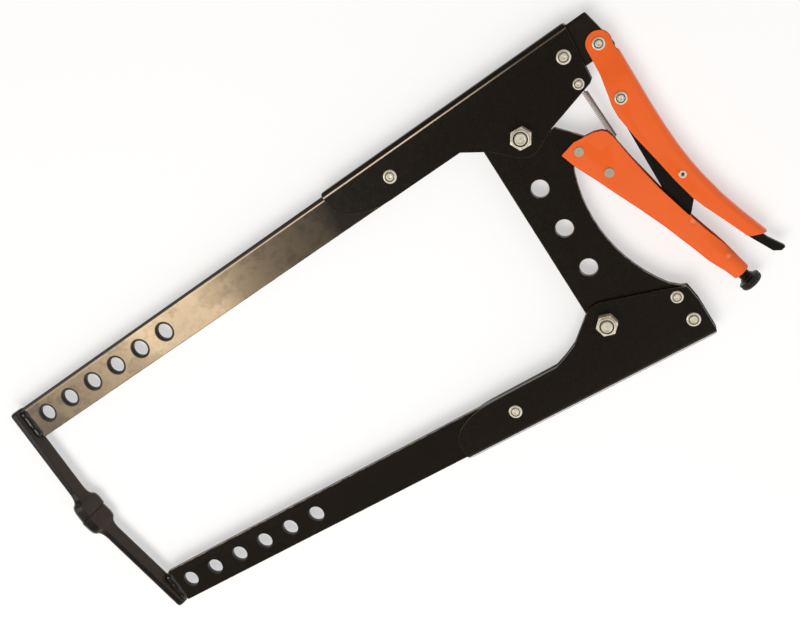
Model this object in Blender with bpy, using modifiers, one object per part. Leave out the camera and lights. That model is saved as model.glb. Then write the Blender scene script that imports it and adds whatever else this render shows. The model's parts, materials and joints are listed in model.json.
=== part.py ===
"""Deep-throat locking clamp: two flat bars with sheet covers, a body plate, and pliers that close the jaws.

Metres, +Z up. The clamp lies flat on the bench. The origin is on the bench under the lower bolt, +X runs along
the lower bar toward the handles and +Y from the lower bar to the upper one. Plan positions are measured from
the lower bolt, and heights from the middle plane of the bars.
"""

import math

import bmesh
import bpy
from mathutils import Matrix, Vector

# General sizes: stock, sheet and clearances
BAR_THICKNESS = 0.004
BAR_WIDTH = 0.028
COVER_SHEET = 0.002
HANDLE_SHEET = 0.0015
FIT = 0.0003
SEAT = 0.0002
OVERRUN = 0.004
EDGE_ROUND = 0.0012

# Fasteners
BOLT_RADIUS = 0.004
HEX_FLATS = 0.013
HEAD_HEIGHT = 0.0053
NUT_HEIGHT = 0.0062
NUT_COLLAR_HEIGHT = 0.0018
NUT_COLLAR_RADIUS = 0.0056
BOLT_END = 0.0009
WASHER_THICKNESS = 0.0012
WASHER_RADIUS = 0.0079
RIVET_SHANK_RADIUS = 0.0026
RIVET_HEAD_HEIGHT = 0.0013
RIVET_DIMPLE_DEPTH = 0.0005
DIMPLE_SHARES = (0.34, 0.46)
COVER_RIVET_RADIUS = 0.0047
PLATE_RIVET_RADIUS = 0.0042
SPRING_PIN_RADIUS = 0.0037
HANDLE_RIVET_RADIUS = 0.0041
GREY_RIVET_RADIUS = 0.0032
GREY_RIVET_SHANK_RADIUS = 0.0022
GREY_RIVET_HEAD_HEIGHT = 0.0005
LEVER_RIVET_RADIUS = 0.0025
LEVER_RIVET_SHANK_RADIUS = 0.0018
LEVER_RIVET_BORE_RADIUS = 0.0011

# Middle plane of the bars above the bench: the bolt heads carry the clamp
COVER_HALF = BAR_THICKNESS / 2 + FIT + COVER_SHEET
HEAD_SEAT_HALF = COVER_HALF + SEAT + WASHER_THICKNESS + SEAT
MID_HEIGHT = HEAD_SEAT_HALF + HEAD_HEIGHT

# Pivots, from the lower bolt
PIVOT_X = 0.0166
PIVOT_Y = 0.1349
UPPER_TILT = math.radians(2.4257)
LOWER_BAR_DROP = 0.0254
UPPER_BAR_RISE = 0.0280
PIVOT_BOSS_RADIUS = 0.0136
LOWER_BOSS_RADIUS = 0.0150
PLATE_LOBE_RADIUS = 0.0137

# Upper handle: its pivot in the upper bar's frame, and the pivots that it carries in its own frame
HANDLE_LENGTH = 0.1535
HANDLE_PIVOT_ALONG = 0.0714
HANDLE_PIVOT_RISE = 0.0213
LINK_PIVOT_SHARE = 0.23192
LEVER_PIVOT_SHARE = 0.62866
LEVER_SHARE = 0.54072
LINK_PIVOT_BACK = 0.0050
LINK_PIVOT_DROP = HANDLE_LENGTH * LINK_PIVOT_SHARE
LEVER_PIVOT_OUT = 0.0035
LEVER_PIVOT_DROP = HANDLE_LENGTH * LEVER_PIVOT_SHARE
LEVER_LENGTH = HANDLE_LENGTH * LEVER_SHARE

# Fixed handle: its tip on the body plate's tongue, its tube, and how far from its tip the screw's tip lies
FIXED_LENGTH = 0.1360
FIXED_TIP_X = 0.0536
FIXED_TIP_Y = 0.1180
TUBE_RADIUS = 0.0057
SCREW_LEAN = math.radians(15.66)
SCREW_TIP_BACK = 0.0920
SCREW_INSIDE = FIXED_LENGTH - SCREW_TIP_BACK
UPPER_GREY_RIVET_SHARES = (0.9503, -2.337)
LOWER_GREY_RIVET_SHARES = (0.7793, -1.749)

# Toggle link: its nose stands before the screw's tip, a little to the side of the screw's axis
LINK_NOSE_RADIUS = 0.0047
OPEN_PIVOT_GAP = 0.0062
LINK_NOSE_ACROSS = 0.0043

# Holes of the bars and the body plate
BAR_HOLE_RADIUS = 0.0059
BAR_HOLE_PITCH = 0.0250
BAR_HOLE_COUNT = 6
LOWER_FIRST_HOLE_BACK = 0.3885
UPPER_FIRST_HOLE_BACK = 0.4208
PLATE_HOLE_RADIUS = 0.0060
PLATE_HOLE_PITCH = 0.0306
PLATE_HOLE_COUNT = 3
PLATE_HOLE_X = 0.0086
PLATE_FIRST_HOLE_Y = 0.0387

# Round piece fineness, in facets of a full turn
ROUND = 24
SMALL = 16
FOLD_SEGMENTS = 5

# Closest two points of a mesh may come before they merge
MERGE = FIT / 100

# Colours and finishes: base colour, metallic, roughness
BLACK_PAINT = ((0.012, 0.010, 0.009, 1.0), 0.0, 0.35)
BLACK_FORGED = ((0.020, 0.016, 0.013, 1.0), 0.3, 0.40)
BLACK_OXIDE = ((0.015, 0.015, 0.016, 1.0), 0.6, 0.38)
ORANGE_PAINT = ((0.820, 0.140, 0.022, 1.0), 0.0, 0.38)
ZINC = ((0.620, 0.630, 0.640, 1.0), 1.0, 0.28)
GREY_STEEL = ((0.300, 0.300, 0.300, 1.0), 0.9, 0.42)
SPRING_STEEL = ((0.250, 0.240, 0.230, 1.0), 1.0, 0.32)


def collection_named(name):
    """A collection of that name linked to the scene."""
    made = bpy.data.collections.new(name)
    bpy.context.scene.collection.children.link(made)
    return made


for leftover in list(bpy.data.objects):
    bpy.data.objects.remove(leftover, do_unlink=True)
PARTS = collection_named("locking_clamp")
CUTTERS = collection_named("cutters")


def material_for(name, finish):
    """A Principled material with the piece's colour, metallic value and roughness."""
    colour, metallic, roughness = finish
    material = bpy.data.materials.new(name)
    material.use_nodes = True
    shader = material.node_tree.nodes["Principled BSDF"]
    shader.inputs["Base Color"].default_value = colour
    shader.inputs["Metallic"].default_value = metallic
    shader.inputs["Roughness"].default_value = roughness
    material.diffuse_color = colour
    return material


def frame_at(name, x, y, turn=0.0):
    """An empty on the middle plane at a plan position, turned about the vertical."""
    frame = bpy.data.objects.new(name, None)
    frame.empty_display_size = BAR_WIDTH / 2
    PARTS.objects.link(frame)
    frame.matrix_world = Matrix.Translation((x, y, MID_HEIGHT)) @ Matrix.Rotation(turn, 4, "Z")
    return frame


def place(piece, frame, x=0.0, y=0.0, z=0.0, turn=0.0):
    """Puts a piece at a position in a frame and makes the frame its parent."""
    piece.parent = frame
    piece.matrix_parent_inverse = Matrix.Identity(4)
    piece.matrix_local = Matrix.Translation((x, y, z)) @ Matrix.Rotation(turn, 4, "Z")
    return piece


def mesh_object(name, mesh):
    """An object for a mesh, in the parts' collection."""
    piece = bpy.data.objects.new(name, mesh)
    PARTS.objects.link(piece)
    return piece


def finish_piece(piece, finish):
    """Gives a piece its material and smooth shading."""
    piece.data.materials.clear()
    piece.data.materials.append(material_for(piece.name, finish))
    piece.data.shade_smooth()
    piece.data.set_sharp_from_angle(angle=math.radians(35))
    return piece


def helper(piece):
    """Sends a cutter or a joined shape to the cutters' collection."""
    PARTS.objects.unlink(piece)
    CUTTERS.objects.link(piece)
    piece.hide_render = True
    piece.display_type = "WIRE"
    return piece


def combine(piece, other, operation):
    """A Boolean of a piece with a helper shape that shares its frame."""
    if other.parent is None and piece.parent is not None:
        place(other, piece.parent)
    modifier = piece.modifiers.new(operation.lower(), "BOOLEAN")
    modifier.operation = operation
    modifier.solver = "EXACT"
    modifier.object = helper(other)
    return piece


def arc(x, y, radius, start, end, count):
    """Points on an arc about (x, y), angles in degrees."""
    return [
        (
            x + radius * math.cos(math.radians(start + (end - start) * step / count)),
            y + radius * math.sin(math.radians(start + (end - start) * step / count)),
        )
        for step in range(count + 1)
    ]


def quarter_ellipse(x, y, reach, rise, count):
    """Points of a quarter ellipse from its left end round to its bottom end."""
    turns = [math.radians(90 * step / count) for step in range(count + 1)]
    return [(x - reach * math.cos(turn), y - rise * math.sin(turn)) for turn in turns]


def arc_through(first, middle, last, count):
    """Points of the arc through three points."""
    ax, ay = first
    bx, by = middle
    cx, cy = last
    double = 2 * (ax * (by - cy) + bx * (cy - ay) + cx * (ay - by))
    a2, b2, c2 = ax * ax + ay * ay, bx * bx + by * by, cx * cx + cy * cy
    x = (a2 * (by - cy) + b2 * (cy - ay) + c2 * (ay - by)) / double
    y = (a2 * (cx - bx) + b2 * (ax - cx) + c2 * (bx - ax)) / double
    radius = math.hypot(ax - x, ay - y)
    start = math.degrees(math.atan2(ay - y, ax - x))
    end = math.degrees(math.atan2(cy - y, cx - x))
    between = math.degrees(math.atan2(by - y, bx - x))
    while end < start:
        end += 360
    while between < start:
        between += 360
    if between > end:
        end -= 360
    return arc(x, y, radius, start, end, count)


def tangent_angle(point, x, y, radius, side):
    """Angle on a circle where the tangent from a point touches it, on its left (1) or right (-1) side."""
    dx, dy = point[0] - x, point[1] - y
    return math.degrees(math.atan2(dy, dx) + side * math.acos(radius / math.hypot(dx, dy)))


def boss(before, x, y, radius, after, count=10):
    """Arc round a boss, tangent to the edges that arrive and leave, for an outline that runs anticlockwise."""
    start = tangent_angle(before, x, y, radius, 1)
    end = tangent_angle(after, x, y, radius, -1)
    while end < start:
        end += 360
    return arc(x, y, radius, start, end, count)


def rounded(corners, count=4):
    """Outline with a fillet at each corner given as (x, y, radius)."""
    points = []
    for index, (x, y, radius) in enumerate(corners):
        before = Vector(corners[index - 1][:2])
        after = Vector(corners[(index + 1) % len(corners)][:2])
        corner = Vector((x, y))
        if radius == 0:
            points.append((x, y))
            continue
        to_before = (before - corner).normalized()
        to_after = (after - corner).normalized()
        half = to_before.angle(to_after) / 2
        centre = corner + (to_before + to_after).normalized() * (radius / math.sin(half))
        first = corner + to_before * (radius / math.tan(half)) - centre
        turn = first.angle_signed(corner + to_after * (radius / math.tan(half)) - centre)
        start = math.degrees(math.atan2(first.y, first.x))
        points += arc(centre.x, centre.y, radius, start, start - math.degrees(turn), count)
    return points


def scaled(shares, width, height):
    """Points from shares of a width and a height."""
    return [(across * width, up * height) for across, up in shares]


def flat_solid(name, outline, thickness, holes=(), edge=0.0):
    """A plate on the middle plane, from its outline and its round holes given as (x, y, radius)."""
    curve = bpy.data.curves.new(name, "CURVE")
    curve.dimensions = "2D"
    curve.fill_mode = "BOTH"
    curve.extrude = thickness / 2 - edge
    curve.bevel_depth = edge
    curve.bevel_resolution = 0
    curve.offset = -edge
    loops = [outline] + [arc(x, y, radius, 0, 360, ROUND)[:-1] for x, y, radius in holes]
    for loop in loops:
        spline = curve.splines.new("POLY")
        spline.points.add(len(loop) - 1)
        for point, (x, y) in zip(spline.points, loop):
            point.co = (x, y, 0.0, 1.0)
        spline.use_cyclic_u = True
    source = bpy.data.objects.new(name, curve)
    PARTS.objects.link(source)
    bpy.context.view_layer.update()
    evaluated = source.evaluated_get(bpy.context.evaluated_depsgraph_get())
    mesh = bpy.data.meshes.new_from_object(evaluated)
    bpy.data.objects.remove(source)
    work = bmesh.new()
    work.from_mesh(mesh)
    bmesh.ops.remove_doubles(work, verts=work.verts, dist=MERGE)
    bmesh.ops.recalc_face_normals(work, faces=work.faces)
    work.to_mesh(mesh)
    work.free()
    mesh.name = name
    return mesh_object(name, mesh)


def turned_solid(name, profile, facets):
    """A turned piece: a profile of (radius, height) points from top to bottom, spun about the vertical."""
    mesh = bpy.data.meshes.new(name)
    mesh.from_pydata([(r, 0.0, z) for r, z in profile], [(i, i + 1) for i in range(len(profile) - 1)], [])
    piece = mesh_object(name, mesh)
    spin = piece.modifiers.new("spin", "SCREW")
    spin.steps = facets
    spin.render_steps = facets
    spin.use_merge_vertices = True
    spin.merge_threshold = MERGE
    return piece


def cylinder(name, radius, low, high, facets=ROUND):
    """A plain cylinder between two heights."""
    return turned_solid(name, [(0.0, high), (radius, high), (radius, low), (0.0, low)], facets)


def prism(name, outline, low, high):
    """A cutter with straight walls between two heights."""
    piece = flat_solid(name, outline, high - low)
    piece.data.transform(Matrix.Translation((0.0, 0.0, (high + low) / 2)))
    return piece


def drill(piece, x, y, radius, reach, facets=ROUND):
    """A through-hole of a piece, round and vertical, at a position in the piece's frame."""
    tool = cylinder(piece.name + "_drill", radius, -reach - OVERRUN, reach + OVERRUN, facets)
    place(tool, piece.parent, x, y)
    return combine(piece, tool, "DIFFERENCE")


def hexagon(flats):
    """Corners of a hexagon by its width across flats."""
    return [(x, y) for x, y in arc(0.0, 0.0, flats / math.sqrt(3), 30, 390, 6)[:-1]]


# The frames that carry the pieces
fixed_frame = frame_at("fixed_frame", 0.0, 0.0)
upper_frame = frame_at("upper_arm_pivot", PIVOT_X, PIVOT_Y, UPPER_TILT)
handle_x = PIVOT_X + HANDLE_PIVOT_ALONG * math.cos(UPPER_TILT) - HANDLE_PIVOT_RISE * math.sin(UPPER_TILT)
handle_y = PIVOT_Y + HANDLE_PIVOT_ALONG * math.sin(UPPER_TILT) + HANDLE_PIVOT_RISE * math.cos(UPPER_TILT)
handle_frame = frame_at("upper_handle_pivot", handle_x, handle_y)
lever_frame = frame_at("release_lever_pivot", handle_x + LEVER_PIVOT_OUT, handle_y - LEVER_PIVOT_DROP)

# A frame on the screw's axis at the open end of the tube, as far from the handle's tip as the handle is long
tube_end_x = FIXED_TIP_X + FIXED_LENGTH * math.sin(SCREW_LEAN)
tube_end_y = FIXED_TIP_Y - FIXED_LENGTH * math.cos(SCREW_LEAN)
screw_frame = frame_at("screw_axis", tube_end_x, tube_end_y, SCREW_LEAN)


def on_fixed_handle(along, across):
    """A plan position from a distance along the screw's axis from the tube's open end, and one across it."""
    return (
        tube_end_x - along * math.sin(SCREW_LEAN) + across * math.cos(SCREW_LEAN),
        tube_end_y + along * math.cos(SCREW_LEAN) + across * math.sin(SCREW_LEAN),
    )


def in_handle_shares(place_share):
    """A plan position from a share of the fixed handle's length and one of its tube's radius."""
    along, across = place_share
    return on_fixed_handle(along * FIXED_LENGTH, across * TUBE_RADIUS)


UPPER_GREY_RIVET = in_handle_shares(UPPER_GREY_RIVET_SHARES)
LOWER_GREY_RIVET = in_handle_shares(LOWER_GREY_RIVET_SHARES)

# The link closes the loop: it reaches from its pivot in the upper handle to its nose before the screw's tip
nose_x, nose_y = on_fixed_handle(SCREW_INSIDE + OPEN_PIVOT_GAP + LINK_NOSE_RADIUS, LINK_NOSE_ACROSS)
link_x = handle_x - LINK_PIVOT_BACK
link_y = handle_y - LINK_PIVOT_DROP
link_length = math.hypot(nose_x - link_x, nose_y - link_y)
link_frame = frame_at("toggle_link_pivot", link_x, link_y, math.atan2(nose_x - link_x, link_y - nose_y))


# Covers: folded sheet over the outer edge of each bar
COVER_FOLD_RADIUS = 0.0040
FOLD_WALL = COVER_SHEET + FIT

LOWER_COVER_FRONT = 0.1360
LOWER_COVER_REAR = 0.0588
LOWER_COVER_FRONT_REACH = 0.0370
LOWER_COVER_FRONT_RISE = 0.0185
LOWER_COVER_TOP_CLEAR = 0.0002
LOWER_COVER_REAR_DROP = 0.0035
LOWER_COVER_SLOPE_SHARES = ((0.78, -0.262), (0.62, -0.178), (0.46, -0.070))
LOWER_COVER_SHOULDER_X = 0.0450
LOWER_COVER_SHOULDER_Y = 0.0016
LOWER_COVER_HEEL_X = 0.0570
LOWER_COVER_HEEL_Y = -0.0036

UPPER_COVER_FRONT = 0.1346
UPPER_COVER_FRONT_REACH = 0.0385
UPPER_COVER_FRONT_RISE = 0.0210
UPPER_COVER_REAR = 0.0606
UPPER_COVER_REAR_RAKE = 0.0040
UPPER_COVER_SLOPE_X = 0.0389
UPPER_COVER_NECK_X = 0.0220
UPPER_COVER_NECK_Y = 0.0032
UPPER_COVER_SHOULDER_X = 0.0190
UPPER_COVER_SHOULDER_Y = -0.0060
UPPER_COVER_HEEL_X = 0.0562
UPPER_COVER_HEEL_Y = 0.0045


def folded_cover(name, frame, outline, edge_y, side):
    """A U of sheet metal: the outline gives its flanges, and its fold runs along the line y = edge_y."""
    cover = place(flat_solid(name, outline, 2 * COVER_HALF), frame)
    mesh = cover.data
    fold = [
        edge.index
        for edge in mesh.edges
        if all(abs(mesh.vertices[v].co.y - edge_y) < FIT and abs(abs(mesh.vertices[v].co.z) - COVER_HALF) < FIT
               for v in edge.vertices)
    ]
    weights = mesh.attributes.new("bevel_weight_edge", "FLOAT", "EDGE")
    for index in fold:
        weights.data[index].value = 1.0
    bevel = cover.modifiers.new("fold", "BEVEL")
    bevel.limit_method = "WEIGHT"
    bevel.width = COVER_FOLD_RADIUS
    bevel.segments = FOLD_SEGMENTS
    inner = edge_y - side * COVER_SHEET
    far = edge_y - side * (UPPER_COVER_FRONT + LOWER_COVER_FRONT)
    reach = 2 * UPPER_COVER_FRONT
    slot = [(-reach, inner), (reach, inner), (reach, far), (-reach, far)]
    slot_half = BAR_THICKNESS / 2 + FIT
    tool = prism(name + "_slot", slot if side < 0 else slot[::-1], -slot_half, slot_half)
    return combine(cover, tool, "DIFFERENCE")


def lower_cover_outline():
    """Outline of the lower cover, anticlockwise, in the frame of the lower bolt."""
    outer = -LOWER_BAR_DROP - BAR_WIDTH / 2 - FOLD_WALL
    inner = -LOWER_BAR_DROP + BAR_WIDTH / 2 + LOWER_COVER_TOP_CLEAR
    heel = (LOWER_COVER_HEEL_X, LOWER_COVER_HEEL_Y)
    shoulder = (LOWER_COVER_SHOULDER_X, LOWER_COVER_SHOULDER_Y)
    *slope, foot = [(-LOWER_COVER_REAR * across, -outer * up) for across, up in LOWER_COVER_SLOPE_SHARES]
    points = [(-LOWER_COVER_FRONT, outer), (LOWER_COVER_REAR, outer)]
    points += [(LOWER_COVER_REAR, inner - LOWER_COVER_REAR_DROP), heel, shoulder]
    points += boss(shoulder, 0.0, 0.0, LOWER_BOSS_RADIUS, foot)
    points += [foot] + slope[::-1]
    curve = quarter_ellipse(
        -LOWER_COVER_FRONT + LOWER_COVER_FRONT_REACH, 0.0, LOWER_COVER_FRONT_REACH, LOWER_COVER_FRONT_RISE, 8)
    points += [(x, inner - LOWER_COVER_FRONT_RISE - y) for x, y in curve[::-1]]
    return points, outer


def upper_cover_outline():
    """Outline of the upper cover, anticlockwise, in the frame of the pivot."""
    outer = UPPER_BAR_RISE + BAR_WIDTH / 2 + FOLD_WALL
    inner = UPPER_BAR_RISE - BAR_WIDTH / 2
    slope = (-UPPER_COVER_SLOPE_X, inner)
    shoulder = (UPPER_COVER_SHOULDER_X, UPPER_COVER_SHOULDER_Y)
    points = quarter_ellipse(
        -UPPER_COVER_FRONT + UPPER_COVER_FRONT_REACH,
        inner + UPPER_COVER_FRONT_RISE,
        UPPER_COVER_FRONT_REACH,
        UPPER_COVER_FRONT_RISE,
        8,
    )
    neck = (-UPPER_COVER_NECK_X, UPPER_COVER_NECK_Y)
    points += [slope, neck]
    points += boss(neck, 0.0, 0.0, PIVOT_BOSS_RADIUS, shoulder)
    rake = UPPER_COVER_REAR_RAKE
    points += [shoulder, (UPPER_COVER_HEEL_X - rake / 2, UPPER_COVER_HEEL_Y - rake / 8)]
    points += [(UPPER_COVER_HEEL_X, UPPER_COVER_HEEL_Y + rake / 4), (UPPER_COVER_REAR, outer - FOLD_WALL)]
    points += [(UPPER_COVER_REAR, outer), (-UPPER_COVER_FRONT, outer)]
    return points, outer


lower_outline, lower_edge = lower_cover_outline()
lower_cover = folded_cover("lower_cover", fixed_frame, lower_outline, lower_edge, -1)
upper_outline, upper_edge = upper_cover_outline()
upper_cover = folded_cover("upper_cover", upper_frame, upper_outline, upper_edge, 1)

# Bars
LOWER_BAR_FRONT = 0.4022
LOWER_BAR_REAR = 0.0570
UPPER_BAR_FRONT = 0.4370
UPPER_BAR_TIP = 0.0745
UPPER_BAR_HEEL = 0.0800


def bar_holes(first_back, y):
    """Places of a bar's row of holes."""
    return [(-first_back + BAR_HOLE_PITCH * index, y, BAR_HOLE_RADIUS) for index in range(BAR_HOLE_COUNT)]


def lower_bar():
    """The lower bar, in the frame of the lower bolt."""
    low = -LOWER_BAR_DROP - BAR_WIDTH / 2
    high = -LOWER_BAR_DROP + BAR_WIDTH / 2
    outline = rounded(
        [
            (-LOWER_BAR_FRONT, low, 0),
            (LOWER_BAR_REAR, low, EDGE_ROUND),
            (LOWER_BAR_REAR, high, EDGE_ROUND),
            (-LOWER_BAR_FRONT, high, 0),
        ]
    )
    holes = bar_holes(LOWER_FIRST_HOLE_BACK, -LOWER_BAR_DROP)
    holes += [(x, y, RIVET_SHANK_RADIUS + FIT) for x, y in (LOWER_FRONT_RIVET, LOWER_REAR_RIVET)]
    return place(flat_solid("lower_arm", outline, BAR_THICKNESS, holes), fixed_frame)


def upper_bar():
    """The upper bar with its slanted end that carries the handle's pivot, in the frame of the pivot."""
    low = UPPER_BAR_RISE - BAR_WIDTH / 2
    high = UPPER_BAR_RISE + BAR_WIDTH / 2
    outline = rounded(
        [
            (-UPPER_BAR_FRONT, low, 0),
            (UPPER_BAR_HEEL, low, 2 * EDGE_ROUND),
            (UPPER_BAR_TIP, high, EDGE_ROUND),
            (-UPPER_BAR_FRONT, high, 0),
        ]
    )
    holes = bar_holes(UPPER_FIRST_HOLE_BACK, UPPER_BAR_RISE)
    holes += [(x, y, RIVET_SHANK_RADIUS + FIT) for x, y in (UPPER_FRONT_RIVET, UPPER_REAR_RIVET)]
    holes += [(HANDLE_PIVOT_ALONG, HANDLE_PIVOT_RISE, RIVET_SHANK_RADIUS + FIT)]
    return place(flat_solid("upper_arm", outline, BAR_THICKNESS, holes), upper_frame)


# Places of the rivets: the lower ones from the lower bolt, the upper ones from the pivot along the upper bar
LOWER_FRONT_RIVET = (-0.0871, -0.0250)
LOWER_REAR_RIVET = (0.0496, -0.0250)
PLATE_RIVET = (0.0479, -0.0064)
UPPER_FRONT_RIVET = (-0.0869, 0.0272)
UPPER_REAR_RIVET = (0.0495, 0.0267)
SPRING_PIN = (0.0480, 0.0077)
LOWER_NUT_TURN = math.radians(15)
PIVOT_NUT_TURN = math.radians(25)

lower_arm = lower_bar()
upper_arm = upper_bar()

# Body plate
PLATE_LEFT = 0.0094
PLATE_FOOT_X = 0.0562
PLATE_HEIGHT = PIVOT_Y
PLATE_ARC_SHARES = ((0.352, 0.029), (0.205, 0.460), (0.245, 0.719))
PLATE_TONGUE_ROOT_SHARE = (0.257, 0.748)
PLATE_SHOULDER_SHARE = (0.274, 0.958)
TONGUE_FRONT_SHARES = ((0.9136, -3.412), (0.7402, -2.853))
TONGUE_BACK_SHARES = ((0.7564, 0.156), (0.8464, 0.394), (0.9056, 0.170))
PLATE_LOBE_START = -35
PLATE_LOBE_END = 90
EAR_ARC = 120
SPRING_EAR_SHARES = (0.6629, 0.223)
SPRING_EAR = in_handle_shares(SPRING_EAR_SHARES)
SPRING_EAR_RADIUS = 0.0032
SPRING_EAR_HOLE_RADIUS = 0.0015


def plate_outline():
    """Outline of the body plate, anticlockwise from its lower left corner."""
    bottom = -LOWER_BAR_DROP + BAR_WIDTH / 2 + FIT
    start, middle, end = scaled(PLATE_ARC_SHARES, PLATE_HEIGHT, PLATE_HEIGHT)
    points = [(-PLATE_LEFT, bottom), (PLATE_FOOT_X, bottom), (PLATE_FOOT_X, LOWER_COVER_HEEL_Y)]
    points += arc_through(start, middle, end, 12)
    points += scaled([PLATE_TONGUE_ROOT_SHARE], PLATE_HEIGHT, PLATE_HEIGHT)
    points += [in_handle_shares(place_share) for place_share in TONGUE_FRONT_SHARES]
    ear_x, ear_y = SPRING_EAR
    points += arc(ear_x, ear_y, SPRING_EAR_RADIUS, -EAR_ARC, EAR_ARC, 8)
    points += [in_handle_shares(place_share) for place_share in TONGUE_BACK_SHARES]
    points += scaled([PLATE_SHOULDER_SHARE], PLATE_HEIGHT, PLATE_HEIGHT)
    top = arc(0.0, 0.0, PLATE_LOBE_RADIUS, PLATE_LOBE_START, PLATE_LOBE_END, 10)
    corner = [(-PLATE_LEFT - PIVOT_X, PLATE_LOBE_RADIUS)]
    cosine, sine = math.cos(UPPER_TILT), math.sin(UPPER_TILT)
    points += [(PIVOT_X + x * cosine - y * sine, PIVOT_Y + x * sine + y * cosine) for x, y in top + corner]
    return points


def body_plate_piece():
    """The body plate with its lightening holes and its holes for bolts, rivets and the spring."""
    heights = [PLATE_FIRST_HOLE_Y + PLATE_HOLE_PITCH * index for index in range(PLATE_HOLE_COUNT)]
    holes = [(PLATE_HOLE_X, height, PLATE_HOLE_RADIUS) for height in heights]
    holes += [(0.0, 0.0, BOLT_RADIUS + FIT), (PIVOT_X, PIVOT_Y, BOLT_RADIUS + FIT)]
    holes += [(*PLATE_RIVET, RIVET_SHANK_RADIUS + FIT)]
    holes += [(x, y, GREY_RIVET_SHANK_RADIUS + FIT) for x, y in (UPPER_GREY_RIVET, LOWER_GREY_RIVET)]
    holes += [(*SPRING_EAR, SPRING_EAR_HOLE_RADIUS)]
    return place(flat_solid("body_plate", plate_outline(), BAR_THICKNESS, holes), fixed_frame)


body_plate = body_plate_piece()
drill(lower_cover, 0.0, 0.0, BOLT_RADIUS + FIT, COVER_HALF)
drill(upper_cover, 0.0, 0.0, BOLT_RADIUS + FIT, COVER_HALF)
for rivet_x, rivet_y in (LOWER_FRONT_RIVET, LOWER_REAR_RIVET, PLATE_RIVET):
    drill(lower_cover, rivet_x, rivet_y, RIVET_SHANK_RADIUS + FIT, COVER_HALF, SMALL)
for rivet_x, rivet_y in (UPPER_FRONT_RIVET, UPPER_REAR_RIVET, SPRING_PIN):
    drill(upper_cover, rivet_x, rivet_y, RIVET_SHANK_RADIUS + FIT, COVER_HALF, SMALL)


# Jaws
PAD_RADIUS = MID_HEIGHT
PAD_RIM = 0.0085
PAD_HEIGHT = 0.0215
PAD_TRIM = 0.0030
SHANK_RADIUS = 0.0059
JAW_LEAN = math.radians(12.2)
UPPER_JAW_LEAN = math.radians(-1.6)
UPPER_JAW_OUT = 0.0009
CONTACT_X = -0.4285
CONTACT_Y = 0.0588
LOWER_JAW_LENGTH = 0.1040
LOWER_JAW_END_ROUND = 0.0020
UPPER_JAW_LENGTH = 0.1030
PAD_FLARE_SHARES = ((0.95, 0.53), (0.72, 0.65), (0.60, 0.76), (0.53, 0.88))
WELD_RADIUS = 0.0046
WELD_SET = 0.0020
WELD_INSET = 0.0012
WELD_END_SHARE = 0.6


def pad_profile(length):
    """Profile of a jaw from its pad face up: face, rim, flare and shank, as (radius, height)."""
    face = [(0.0, 0.0), (PAD_RADIUS, 0.0), (PAD_RADIUS, PAD_RIM + PAD_TRIM)]
    flare = [(PAD_RADIUS * across, PAD_TRIM + PAD_HEIGHT * up) for across, up in PAD_FLARE_SHARES]
    end = [
        (SHANK_RADIUS, PAD_TRIM + PAD_HEIGHT),
        (SHANK_RADIUS, length - LOWER_JAW_END_ROUND),
        (SHANK_RADIUS - LOWER_JAW_END_ROUND, length),
        (0.0, length),
    ]
    return (face + flare + end)[::-1]


def jaw_piece(name, x, y, lean, length, down):
    """A turned jaw on the middle plane: its axis passes the contact point and leans from the Y axis."""
    jaw = turned_solid(name, pad_profile(length), ROUND)
    sign = -1 if down else 1
    axis = Vector((-sign * math.sin(lean), sign * math.cos(lean), 0.0))
    turn = axis.to_track_quat("Z", "X").to_matrix().to_4x4()
    start = Vector((x, y, MID_HEIGHT)) - axis * PAD_TRIM
    jaw.matrix_world = Matrix.Translation(start) @ turn
    return jaw


def plan_block(name, x, y, turn, reach, low, high):
    """A box cutter about a plan position, turned about the vertical, between two lines across it."""
    outline = [(-reach, low), (reach, low), (reach, high), (-reach, high)]
    return place(prism(name, outline, -reach, reach), fixed_frame, x, y, 0.0, turn)


def weld_bead(name, frame, x, low, high):
    """A rounded bead along the end of a bar."""
    half = (high - low) / 2
    profile = [(0.0, half), (WELD_RADIUS * WELD_END_SHARE, half), (WELD_RADIUS, half - WELD_RADIUS / 2)]
    profile += [(r, -z) for r, z in profile[::-1]]
    bead = turned_solid(name, profile, SMALL)
    bead.parent = frame
    lying = Matrix.Rotation(math.radians(-90), 4, "X")
    bead.matrix_local = Matrix.Translation((x, (low + high) / 2, 0.0)) @ lying
    return bead


def keep_parent(piece, frame):
    """Parents a piece to a frame without moving it."""
    bpy.context.view_layer.update()
    world = piece.matrix_world.copy()
    piece.parent = frame
    piece.matrix_parent_inverse = Matrix.Identity(4)
    piece.matrix_local = frame.matrix_world.inverted() @ world
    return piece


def slot_block(name, frame, low_x, high_x, low_y, high_y):
    """A cutter as thick as a bar with its fit."""
    half = BAR_THICKNESS / 2 + FIT
    outline = [(low_x, low_y), (high_x, low_y), (high_x, high_y), (low_x, high_y)]
    return place(prism(name, outline, -half, half), frame)


def bar_end_block(name, frame, front, middle):
    """The space that a bar's end takes up, with its fit, as a cutter."""
    half = BAR_WIDTH / 2 + FIT
    return slot_block(name, frame, -front - FIT, -front + BAR_WIDTH, middle - half, middle + half)


def weld_to_bar(jaw, frame, front, middle):
    """Joins a jaw's weld bead to it and cuts the seat of the bar's end, whose row lies at a middle height."""
    half = BAR_WIDTH / 2 - WELD_INSET
    bead = weld_bead(jaw.name + "_weld", frame, -front - WELD_SET, middle - half, middle + half)
    combine(jaw, bead, "UNION")
    return combine(jaw, bar_end_block(jaw.name + "_seat", frame, front, middle), "DIFFERENCE")


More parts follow.
